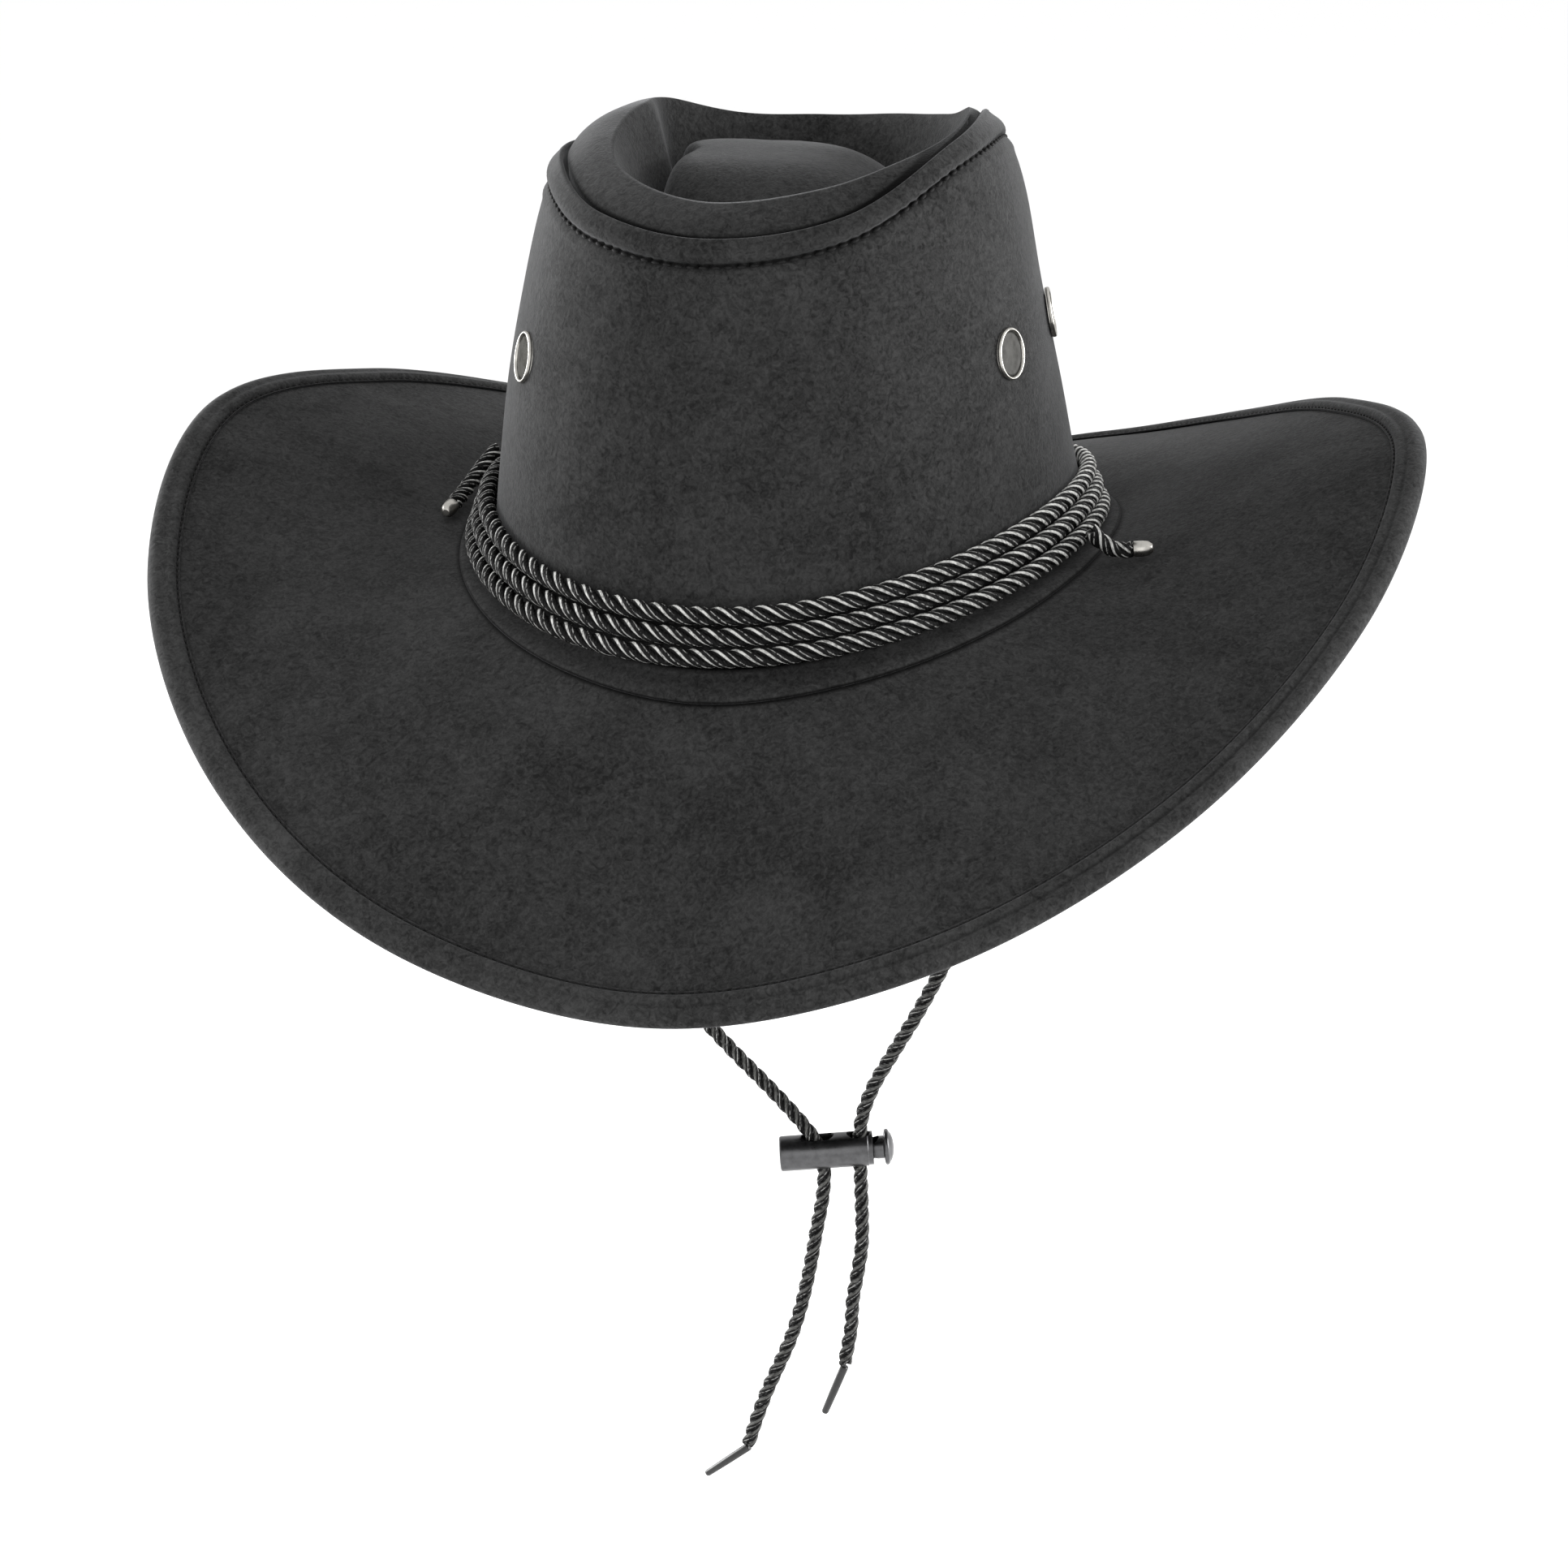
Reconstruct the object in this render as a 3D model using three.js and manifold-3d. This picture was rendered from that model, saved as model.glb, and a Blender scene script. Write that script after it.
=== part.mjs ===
// A charcoal suede cowboy hat with a pinched crown, three turns of twisted cord round its foot
// and a chin cord with a spring toggle. Millimetres, +Z up, the front of the hat towards -Y.
// The origin is the centre of the head opening, at the mean height of the crown's foot.
import * as THREE from 'three';
import { mergeVertices } from 'three/addons/utils/BufferGeometryUtils.js';
import Module from 'manifold-3d';

// Head opening and crown
const base_length = 200;
const base_width = 168;
const base_saddle = 7.4;
const cloth = 2;
const gap = 0.35;
const crown_height = 112;
const crown_taper = 20;
const crown_seat = 0.8;
const tip_roll = 19;
const tip_dent = 34;
const tip_skirt = 3;
const dome_height = 114.4;
const dome_back = 6;
const dome_side = -16;

// Brim, its bound edge and the sewn ring at the crown's foot
const brim_width = 95;
const brim_curl = 1.35;
const hem_width = 9;
const hem_cloth = 0.9;
const edge_roll = 1.9;
const ring_width = 10;
const ring_cloth = 0.8;
const ring_start = 1.2;
const ring_gap = 0.45;

// Twisted cord round the crown, and its two capped ends
const hat_cord = 5.2;
const hat_cord_saddle = 7.6;
const hat_cord_level = 16.2;
const hat_cord_lean = 2;
const hat_cord_end = 4.8;
const cap_diameter = 4.4;
const cap_length = 5.5;

// Rivets
const rivet_diameter = 14.2;
const rivet_rim = 1.3;
const rivet_height = 1.7;

// Chin cord with its toggle and two aglets
const chin_cord = 4.4;
const chin_cord_rise = 12;
const chin_cord_clear = 0.8;
const toggle_length = 28.5;
const toggle_diameter = 10.8;
const toggle_bore = 7.6;
const toggle_end_wall = 1.3;
const toggle_turn = 14;
const toggle_tilt = 3;
const hole_width = 5.4;
const left_hole_at = -2.4;
const left_hole_length = 10;
const right_hole_at = 10;
const right_hole_length = 7.2;
const plunger_diameter = 7;
const plunger_travel = 3;
const plunger_tip = 2.2;
const slot_clearance = 0.4;
const button_diameter = 11;
const button_thickness = 3;
const aglet_diameter = 2.6;
const aglet_length = 18;

const turns = 56;

// One row for each 30 degrees round the crown, from the front over the side at +X.
// inset, bulge and shoulder, how far the top bends in, are shares of crown_taper, rise is a share
// of crown_height.
const crown_rows = [
  { inset: 0.64, rise: 0.925, bulge: 0.08, shoulder: 0 },
  { inset: 0.62, rise: 0.965, bulge: 0.05, shoulder: 0 },
  { inset: 0.71, rise: 1.1, bulge: 0.01, shoulder: 0.12 },
  { inset: 0.97, rise: 1.122, bulge: -0.02, shoulder: 0.35 },
  { inset: 1.07, rise: 1.02, bulge: -0.04, shoulder: 0.28 },
  { inset: 1.07, rise: 0.885, bulge: -0.02, shoulder: 0.06 },
  { inset: 1.07, rise: 0.83, bulge: -0.02, shoulder: 0 },
  { inset: 1.04, rise: 0.88, bulge: -0.01, shoulder: 0 },
  { inset: 1.02, rise: 0.97, bulge: 0.02, shoulder: 0.02 },
  { inset: 1.07, rise: 1.035, bulge: 0.08, shoulder: 0.1 },
  { inset: 1.02, rise: 1.035, bulge: 0.18, shoulder: 0.05 },
  { inset: 0.78, rise: 0.965, bulge: 0.18, shoulder: 0 },
];

// The same twelve directions on the tip. crest_in is a share of tip_roll, valley_in of tip_dent,
// crest and valley are heights as shares of crown_height, swell is how steeply the dome rises.
const tip_rows = [
  { crest_in: 0.6, crest: 1.0, valley_in: 1.0, valley: 0.83, swell: 3.4 },
  { crest_in: 0.52, crest: 1.03, valley_in: 0.93, valley: 0.84, swell: 3.2 },
  { crest_in: 0.3, crest: 1.096, valley_in: 0.72, valley: 0.865, swell: 3 },
  { crest_in: 0.16, crest: 1.13, valley_in: 0.52, valley: 0.88, swell: 3.2 },
  { crest_in: 0.4, crest: 1.078, valley_in: 0.55, valley: 0.88, swell: 4.2 },
  { crest_in: 0.68, crest: 1.049, valley_in: 0.75, valley: 0.875, swell: 4.2 },
  { crest_in: 0.78, crest: 1.037, valley_in: 0.9, valley: 0.87, swell: 4.5 },
  { crest_in: 0.76, crest: 1.05, valley_in: 0.78, valley: 0.875, swell: 6 },
  { crest_in: 0.72, crest: 1.112, valley_in: 0.6, valley: 0.885, swell: 9 },
  { crest_in: 0.95, crest: 1.137, valley_in: 0.84, valley: 0.885, swell: 12 },
  { crest_in: 0.95, crest: 1.105, valley_in: 0.95, valley: 0.87, swell: 9 },
  { crest_in: 0.75, crest: 1.045, valley_in: 1.0, valley: 0.85, swell: 5 },
];

// The two sides of the brim match: one row for each 22.5 degrees from the front to the back.
// Level reach, lift at the edge and bow at half width, as shares of brim_width.
const brim_rows = [
  { reach: 0.755, lift: -0.75, bow: 0.01 },
  { reach: 0.895, lift: -0.6, bow: 0.02 },
  { reach: 0.975, lift: -0.34, bow: 0.01 },
  { reach: 1.025, lift: 0.01, bow: -0.01 },
  { reach: 0.995, lift: 0.315, bow: 0.02 },
  { reach: 0.85, lift: 0.31, bow: 0.03 },
  { reach: 0.8, lift: 0.187, bow: 0.04 },
  { reach: 0.84, lift: 0.04, bow: 0.05 },
  { reach: 0.87, lift: -0.08, bow: 0.06 },
];

// Rivets in pairs at the sides: degrees from the front, and height as a share of the wall's rise.
const rivets = [
  { name: 'rivet_front_left', degrees: 67, height: 0.51 },
  { name: 'rivet_back_left', degrees: 97, height: 0.525 },
  { name: 'rivet_front_right', degrees: -50, height: 0.58 },
  { name: 'rivet_back_right', degrees: -92, height: 0.57 },
];

// Routes of the loose cords, chosen by hand.
const toggle_centre = [6, 0, -188.5];
const chin_right_route = [
  [-78.9, 0, 3.5], [-78.9, 0, -5], [-78.4, 0, -24], [-75.6, 0, -45], [-70.6, 0, -68],
  [-63.4, 0, -90], [-54, 0, -112], [-43, 0, -132], [-32, 0, -147.5], [-22, 0, -158.5],
  [-13.5, 0, -167], [-6, -0.5, -174.5], [0, -0.8, -181.2], [2.6, -0.7, -185], [4.2, -0.5, -189],
  [5.1, -0.2, -194.5], [4.6, 0, -203], [2.2, 0, -216], [-0.4, 0, -230], [-3.2, 0, -242],
  [-7, 0, -254], [-11.2, 0, -264], [-15, 0, -273], [-18.2, 0, -282], [-21.2, 0, -291.5],
];
const chin_left_route = [
  [78.9, 0, 3.5], [78.9, 0, -5], [77.6, 0.2, -24], [74, 0.4, -45], [68.4, 0.6, -66],
  [61, 0.8, -86], [52.4, 1, -106], [42.6, 1.3, -126], [34.4, 1.6, -142], [27, 2, -155],
  [20.2, 2.4, -167.5], [16.6, 2.5, -178], [15.7, 2.5, -188], [16, 2.4, -198], [16.4, 1.4, -207],
  [16.4, 0.6, -219], [15, 0, -229], [13.4, 0, -238], [12.6, 0, -248], [10.4, 0, -260],
];

// The two ends of the twisted cord lie down on the brim: degrees from the front, distance out from
// the crown's foot and height above the brim's upper face, for a crown cord of 5.2.
const hat_end_right_rows = [
  { degrees: -97.2, out: 15.1, above: 12.7 },
  { degrees: -94.3, out: 15.3, above: 9.7 },
  { degrees: -91, out: 15.6, above: 6.2 },
  { degrees: -87.4, out: 15.9, above: 3.8 },
  { degrees: -83.4, out: 16.2, above: 3.1 },
];
const hat_end_left_rows = [
  { degrees: 74.3, out: 12, above: 10.5 },
  { degrees: 75, out: 14.7, above: 6.8 },
  { degrees: 75.8, out: 17.9, above: 4 },
  { degrees: 76.5, out: 21.9, above: 3.5 },
];

const suede = { color: 0x3c3d3f, roughness: 0.95, metalness: 0 };
const dark_suede = { color: 0x2d2e30, roughness: 0.95, metalness: 0 };
const striped_cord = { color: 0x2a2a2b, roughness: 0.6, metalness: 0 };
const black_cord = { color: 0x1b1b1c, roughness: 0.7, metalness: 0 };
const silver = { color: 0xb9b4aa, roughness: 0.3, metalness: 1 };
const gunmetal = { color: 0x2b2b2d, roughness: 0.25, metalness: 1 };
const black_tip = { color: 0x19191a, roughness: 0.4, metalness: 0 };

const hat = new THREE.Group();
const up = new THREE.Vector3(0, 0, 1);
const radians = THREE.MathUtils.degToRad;

function place(name, geometry, material, parent = hat) {
  const mesh = new THREE.Mesh(geometry, new THREE.MeshStandardMaterial(material));
  mesh.name = name;
  parent.add(mesh);
  return mesh;
}

// A column of a closed table at a direction round the hat, smoothed through its rows.
function around(rows, column, turn) {
  const at = (((turn / (2 * Math.PI)) % 1) + 1) % 1 * rows.length;
  const row = Math.floor(at);
  const f = at - row;
  const value = (k) => rows[(row + k + rows.length) % rows.length][column];
  const start = (value(1) - value(-1)) / 2;
  const end = (value(2) - value(0)) / 2;
  const rise = value(1) - value(0);
  return value(0) + f * (start + f * (3 * rise - 2 * start - end + f * (start + end - 2 * rise)));
}

const whole_brim_rows = [...brim_rows, ...brim_rows.slice(1, -1).reverse()];

function outward(turn) {
  return new THREE.Vector3(base_length * Math.sin(turn), -base_width * Math.cos(turn), 0).normalize();
}

function foot(turn, out, height = 0) {
  const point = new THREE.Vector3(
    (base_width / 2) * Math.sin(turn),
    (-base_length / 2) * Math.cos(turn),
    height - base_saddle * Math.cos(2 * turn),
  );
  return point.addScaledVector(outward(turn), out);
}

// Crown wall at a share of its height, and a distance inside its outer face.
function wallPoint(turn, share, inside = 0) {
  const inset = around(crown_rows, 'inset', turn) * share;
  const bulge = around(crown_rows, 'bulge', turn) * 4 * share * (1 - share);
  const shoulder = around(crown_rows, 'shoulder', turn) * share ** 14;
  const point = foot(turn, crown_taper * (bulge - inset - shoulder) - inside);
  const top = around(crown_rows, 'rise', turn) * crown_height;
  point.z = THREE.MathUtils.lerp(point.z + crown_seat, top, share);
  return point;
}

// Crown tip from its seam, at 0, over the rolled crest and the dented valley to the dome, at 1.
function tipPoint(turn, share) {
  const seam = wallPoint(turn, 1, cloth + gap);
  const centre = new THREE.Vector3(dome_side, dome_back, dome_height);
  const span = Math.hypot(seam.x - centre.x, seam.y - centre.y);
  const crest_at = (around(tip_rows, 'crest_in', turn) * tip_roll) / span;
  const valley_at = (around(tip_rows, 'valley_in', turn) * tip_dent) / span;
  const crest = around(tip_rows, 'crest', turn) * crown_height;
  const valley = around(tip_rows, 'valley', turn) * crown_height;
  const point = seam.clone().lerp(centre, Math.max(share, 0));
  if (share <= 0) {
    point.z = seam.z + share * tip_skirt;
  } else if (share < crest_at) {
    const x = 1 - share / crest_at;
    point.z = seam.z + (crest - seam.z) * Math.sqrt(1 - x * x);
  } else if (share < valley_at) {
    const x = (share - crest_at) / (valley_at - crest_at);
    point.z = crest + (valley - crest) * (0.5 - 0.5 * Math.cos(Math.PI * x));
  } else {
    const x = (share - valley_at) / (1 - valley_at);
    const swell = around(tip_rows, 'swell', turn);
    point.z = valley + (dome_height - valley) * (1 - (1 - x) ** swell);
  }
  return point;
}

// Shares of the tip's span where its rings of faces lie.
function tipShares(turn) {
  const seam = wallPoint(turn, 1, cloth + gap);
  const span = Math.hypot(seam.x - dome_side, seam.y - dome_back);
  const crest = (around(tip_rows, 'crest_in', turn) * tip_roll) / span;
  const valley = (around(tip_rows, 'valley_in', turn) * tip_dent) / span;
  const between = (a, b, f) => a + (b - a) * f;
  return [
    -1, 0, crest * 0.25, crest, between(crest, valley, 0.5), valley,
    between(valley, 1, 0.3), between(valley, 1, 0.65),
  ];
}

function normalOf(surface, turn, share) {
  const step = 0.01;
  const along = surface(turn + step, share).sub(surface(turn - step, share));
  const across = surface(turn, share + step).sub(surface(turn, share - step));
  return along.cross(across).normalize().negate();
}

// Upper face of the brim: level inside the crown's foot, then sloped and bowed out to its edge.
function brimTop(turn, share) {
  const reach = around(whole_brim_rows, 'reach', turn) * brim_width;
  const lift = around(whole_brim_rows, 'lift', turn) * brim_width;
  const bow = around(whole_brim_rows, 'bow', turn) * brim_width;
  const sloped = Math.max(share, 0);
  const raised = lift > 0 ? sloped ** brim_curl : sloped;
  return foot(turn, reach * share, lift * raised + bow * 4 * sloped * (1 - sloped));
}

function brimSlant(turn) {
  const reach = around(whole_brim_rows, 'reach', turn);
  const lift = around(whole_brim_rows, 'lift', turn);
  return Math.hypot(reach, lift) * brim_width;
}

// A point beside the brim: its distance from the crown's foot, or from the edge where negative,
// and its height above the upper face.
function brimPoint(turn, out, above = 0) {
  const slant = brimSlant(turn);
  const share = out < 0 ? 1 + out / slant : out / slant;
  let normal = normalOf(brimTop, turn, Math.max(share, 0.02));
  if (normal.z < 0) {
    normal = normal.negate();
  }
  return brimTop(turn, share).addScaledVector(normal, above);
}

function ringOf(point) {
  return Array.from({ length: turns }, (_, k) => point((2 * Math.PI * k) / turns));
}

// A closed skin through rings of points. A ring of one point is a pole, and without poles
// the last ring joins the first.
function skin(rings) {
  const corners = [];
  const point = (ring, k) => ring[k % ring.length];
  const poled = rings[0].length === 1;
  const count = poled ? rings.length - 1 : rings.length;
  for (let r = 0; r < count; r += 1) {
    const lower = rings[r];
    const upper = rings[(r + 1) % rings.length];
    for (let k = 0; k < turns; k += 1) {
      const quad = [point(lower, k), point(lower, k + 1), point(upper, k + 1), point(upper, k)];
      if (lower.length > 1) {
        corners.push(quad[0], quad[1], quad[2]);
      }
      if (upper.length > 1) {
        corners.push(quad[0], quad[2], quad[3]);
      }
    }
  }
  const geometry = new THREE.BufferGeometry().setFromPoints(corners);
  return mergeVertices(geometry, 1e-4);
}

// Crown wall
const wall_shares = [0, 0.14, 0.3, 0.48, 0.66, 0.84, 1];
const wall_inner_shares = [1, 0.75, 0.5, 0.25, 0];
place('crown_wall', skin([
  ...wall_shares.map((share) => ringOf((turn) => wallPoint(turn, share))),
  ...wall_inner_shares.map((share) => ringOf((turn) => wallPoint(turn, share, cloth))),
]), suede);

// Crown tip, an upper and a lower face one cloth apart, closed at the dome's pole
function tipRing(index, inside) {
  return ringOf((turn) => {
    const share = tipShares(turn)[index];
    const level = share < 0.02 ? outward(turn) : normalOf(tipPoint, turn, share);
    const normal = level.z < 0 ? level.negate() : level;
    return tipPoint(turn, share).addScaledVector(normal, -inside);
  });
}
const tip_rings = tipShares(0).map((_, index) => index);
place('crown_tip', skin([
  [new THREE.Vector3(dome_side, dome_back, dome_height - cloth)],
  ...tip_rings.toReversed().map((index) => tipRing(index, cloth)),
  ...tip_rings.map((index) => tipRing(index, 0)),
  [new THREE.Vector3(dome_side, dome_back, dome_height)],
]), suede);

// Brim, flush with the crown wall's inner face
const brim_shares = [0, 0.12, 0.28, 0.46, 0.67, 0.9, 1];
function brimRing(share, above) {
  return ringOf((turn) => brimPoint(turn, (brimSlant(turn) - edge_roll) * share, above));
}
place('brim', skin([
  ringOf((turn) => foot(turn, -cloth, -cloth)),
  ...brim_shares.map((share) => brimRing(share, -cloth)),
  ...brim_shares.toReversed().map((share) => brimRing(share, 0)),
  ringOf((turn) => foot(turn, -cloth)),
]), dark_suede);

// Bound edge, folded over the brim's rim
const hem_top = gap + hem_cloth;
const hem_under = -cloth - gap - hem_cloth;
place('brim_binding', skin([
  ringOf((turn) => brimPoint(turn, -hem_width, hem_under)),
  ringOf((turn) => brimPoint(turn, -edge_roll, hem_under)),
  ringOf((turn) => brimPoint(turn, -0.01, -cloth)),
  ringOf((turn) => brimPoint(turn, -0.01, 0)),
  ringOf((turn) => brimPoint(turn, -edge_roll, hem_top)),
  ringOf((turn) => brimPoint(turn, -hem_width, hem_top)),
  ringOf((turn) => brimPoint(turn, -hem_width, gap)),
  ringOf((turn) => brimPoint(turn, -edge_roll + gap, gap)),
  ringOf((turn) => brimPoint(turn, -edge_roll + gap, -cloth - gap)),
  ringOf((turn) => brimPoint(turn, -hem_width, -cloth - gap)),
]), dark_suede);

// Sewn ring round the crown's foot
const ring_outs = [ring_start, ring_width / 2, ring_width];
place('base_ring', skin([
  ...ring_outs.map((out) => ringOf((turn) => brimPoint(turn, out, ring_gap))),
  ...ring_outs.toReversed().map((out) => ringOf((turn) => brimPoint(turn, out, ring_gap + ring_cloth))),
]), dark_suede);

// Three turns of twisted cord, each outside and below the one above it
const hat_cord_pitch = Math.sqrt((hat_cord + gap) ** 2 - hat_cord_lean ** 2);
function hatCordPoint(turn, index, side) {
  const level = hat_cord_level - hat_cord_pitch * index;
  const rise = level + (base_saddle - hat_cord_saddle) * Math.cos(2 * turn);
  const share = hat_cord_level / (crown_height + base_saddle);
  const wall = wallPoint(turn, share).sub(foot(turn, 0));
  const out = wall.dot(outward(turn)) + hat_cord / 2 + gap + hat_cord_lean * index;
  const angle = (2 * Math.PI * side) / 6;
  return foot(
    turn,
    out + (hat_cord / 2) * Math.cos(angle),
    rise + (hat_cord / 2) * Math.sin(angle),
  );
}
['upper', 'middle', 'lower'].forEach((level, index) => {
  const sides = [0, 1, 2, 3, 4, 5];
  place(`hat_cord_${level}`, skin(
    sides.map((side) => ringOf((turn) => hatCordPoint(turn, index, side))),
  ), striped_cord);
});

// A round cord along a route, with a step about every two and a half diameters
function cordAlong(route, diameter) {
  const section = new THREE.Shape();
  const sides = 8;
  for (let k = 0; k < sides; k += 1) {
    const angle = (2 * Math.PI * k) / sides;
    const corner = [(diameter / 2) * Math.cos(angle), (diameter / 2) * Math.sin(angle)];
    if (k === 0) {
      section.moveTo(...corner);
    } else {
      section.lineTo(...corner);
    }
  }
  section.closePath();
  const path = new THREE.CatmullRomCurve3(route, false, 'centripetal');
  const steps = Math.ceil(path.getLength() / (2.5 * diameter));
  return new THREE.ExtrudeGeometry(section, { steps, extrudePath: path, bevelEnabled: false });
}

const points = (route) => route.map((xyz) => new THREE.Vector3(...xyz));

// A turned piece whose axis starts at a point and follows a direction
function turned(profile, segments, start, direction) {
  const outline = profile.map(([radius, height]) => new THREE.Vector2(radius, height));
  const geometry = new THREE.LatheGeometry(outline, segments);
  const axis = new THREE.Vector3(0, 1, 0);
  const spin = new THREE.Quaternion().setFromUnitVectors(axis, direction.clone().normalize());
  geometry.applyQuaternion(spin);
  geometry.translate(start.x, start.y, start.z);
  return geometry;
}

// Capped ends of the twisted cord
const cap_profile = [
  [0, 0], [cap_diameter / 2, 0], [cap_diameter / 2, cap_length * 0.7], [cap_diameter / 4, cap_length],
  [0, cap_length],
];
[['right', hat_end_right_rows], ['left', hat_end_left_rows]].forEach(([side, rows]) => {
  const path = rows.map(({ degrees, out, above }) => brimPoint(radians(degrees), out, above));
  const end = path[path.length - 1];
  const direction = end.clone().sub(path[path.length - 2]).normalize();
  place(`hat_cord_end_${side}`, cordAlong(path, hat_cord_end), striped_cord);
  const start = end.clone().addScaledVector(direction, gap);
  place(`hat_cord_cap_${side}`, turned(cap_profile, 10, start, direction), silver);
});

// Rivets on the crown wall
const rivet_radius = rivet_diameter / 2;
const rivet_profile = [
  [0, 0], [rivet_radius - 0.2, 0], [rivet_radius, 0.4 * rivet_height],
  [rivet_radius - 0.45 * rivet_rim, rivet_height], [rivet_radius - rivet_rim, 0.7 * rivet_height],
  [0, 0.8 * rivet_height],
];
const rivet_sag = rivet_radius ** 2 / base_width;
rivets.forEach(({ name, degrees, height }) => {
  const turn = radians(degrees);
  const normal = normalOf(wallPoint, turn, height);
  if (normal.dot(outward(turn)) < 0) {
    normal.negate();
  }
  const start = wallPoint(turn, height).addScaledVector(normal, gap - 0.5 * rivet_sag);
  place(name, turned(rivet_profile, 16, start, normal), silver);
});

// Chin cord: the stretch inside the crown, held round the back of the foot, and two loose ends
const foot_span = (base_width + base_length) / 4;
const back_inside = cloth + chin_cord_clear + chin_cord / 2;
function insidePoint(degrees, rise) {
  const turn = radians(degrees);
  const share = rise / (crown_height + foot_span / 10);
  const point = wallPoint(turn, share, back_inside);
  point.z = foot(turn, 0).z + rise;
  return point;
}
function above(xyz, height) {
  return new THREE.Vector3(...xyz).addScaledVector(up, height);
}
const back_route = [
  above(chin_left_route[0], gap),
  above(chin_left_route[0], chin_cord),
  insidePoint(92, chin_cord_rise * 0.5),
  insidePoint(98, chin_cord_rise * 0.9),
  ...[108, 120, 135, 150, 165, 180, 195, 210, 225, 240, 252].map((at) => insidePoint(at, chin_cord_rise)),
  insidePoint(262, chin_cord_rise * 0.9),
  insidePoint(268, chin_cord_rise * 0.5),
  above(chin_right_route[0], chin_cord),
  above(chin_right_route[0], gap),
];
place('chin_cord_back', cordAlong(back_route, chin_cord), black_cord);

const aglet_profile = [
  [0, 0], [aglet_diameter / 2, 0], [aglet_diameter * 0.42, aglet_length], [0, aglet_length],
];
[['right', chin_right_route, [-1, 0, -0.8]], ['left', chin_left_route, [-0.4, 0, -1]]].forEach(
  ([side, route, heading]) => {
    const path = points(route);
    const end = path[path.length - 1];
    const direction = new THREE.Vector3(...heading).normalize();
    const seat = (chin_cord - aglet_diameter) / 2;
    place(`chin_cord_${side}`, cordAlong(path, chin_cord), black_cord);
    const start = end.clone().add(new THREE.Vector3(0, 0, -gap - seat));
    place(`aglet_${side}`, turned(aglet_profile, 10, start, direction), black_tip);
  },
);

// Spring toggle: a barrel with two cross holes, and a slotted plunger that slides in its bore
const wasm = await Module();
wasm.setup();

function solid(geometry) {
  const bare = geometry.clone();
  bare.deleteAttribute('normal');
  bare.deleteAttribute('uv');
  const merged = mergeVertices(bare, 1e-4);
  const vertProperties = Float32Array.from(merged.attributes.position.array);
  const triVerts = Uint32Array.from(merged.index.array);
  return new wasm.Manifold(new wasm.Mesh({ numProp: 3, vertProperties, triVerts }));
}

function geometryOf(body) {
  const mesh = body.getMesh();
  const geometry = new THREE.BufferGeometry();
  geometry.setAttribute('position', new THREE.BufferAttribute(mesh.vertProperties, mesh.numProp));
  geometry.setIndex(new THREE.BufferAttribute(mesh.triVerts, 1));
  return geometry;
}

const along_x = new THREE.Vector3(1, 0, 0);

function rod(diameter, from, to, segments = 16) {
  const profile = [[0, 0], [diameter / 2, 0], [diameter / 2, to - from], [0, to - from]];
  return turned(profile, segments, new THREE.Vector3(from, 0, 0), along_x);
}

// An upright cut with round ends, along the toggle's axis
function crossCut(centre, length) {
  const outline = new THREE.Shape();
  const radius = hole_width / 2;
  const straight = length / 2 - radius;
  outline.absarc(straight, 0, radius, -Math.PI / 2, Math.PI / 2, false);
  outline.absarc(-straight, 0, radius, Math.PI / 2, (3 * Math.PI) / 2, false);
  const depth = 2 * toggle_diameter;
  const cut = new THREE.ExtrudeGeometry(outline, { depth, bevelEnabled: false, curveSegments: 6 });
  cut.translate(centre, 0, -depth / 2);
  return solid(cut);
}

const toggle = new THREE.Group();
toggle.position.set(...toggle_centre);
toggle.rotation.set(0, radians(-toggle_tilt), radians(toggle_turn), 'ZYX');
hat.add(toggle);

const barrel_end = toggle_length / 2;
const bore_bottom = -barrel_end + toggle_end_wall;
const edge_round = 0.6;
const barrel_profile = [
  [0, 0], [toggle_diameter / 2 - edge_round, 0], [toggle_diameter / 2, edge_round],
  [toggle_diameter / 2, toggle_length - edge_round], [toggle_diameter / 2 - edge_round, toggle_length],
  [0, toggle_length],
];
const barrel = solid(turned(barrel_profile, 16, new THREE.Vector3(-barrel_end, 0, 0), along_x))
  .subtract(solid(rod(toggle_bore, bore_bottom, barrel_end + 1)))
  .subtract(crossCut(left_hole_at, left_hole_length))
  .subtract(crossCut(right_hole_at, right_hole_length));
place('toggle_barrel', geometryOf(barrel), gunmetal, toggle);

const slot_start = left_hole_at - left_hole_length / 2;
const slot_end = right_hole_at + right_hole_length / 2 + plunger_travel - slot_clearance;
const neck_end = barrel_end + plunger_travel + gap;
const button_profile = [
  [0, 0], [button_diameter / 2 - 0.5, 0], [button_diameter / 2, 0.8], [button_diameter / 2, 1.6],
  [button_diameter / 2 - 1.2, 2.5], [0, button_thickness],
];
const plunger = solid(rod(plunger_diameter, slot_start - plunger_tip, neck_end + 0.5))
  .add(solid(turned(button_profile, 16, new THREE.Vector3(neck_end, 0, 0), along_x)))
  .subtract(crossCut((slot_start + slot_end) / 2, slot_end - slot_start));
place('toggle_plunger', geometryOf(plunger), gunmetal, toggle);

export default hat;
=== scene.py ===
import math

import bmesh
import bpy
import numpy as np
from mathutils import Matrix, Vector, noise


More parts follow.
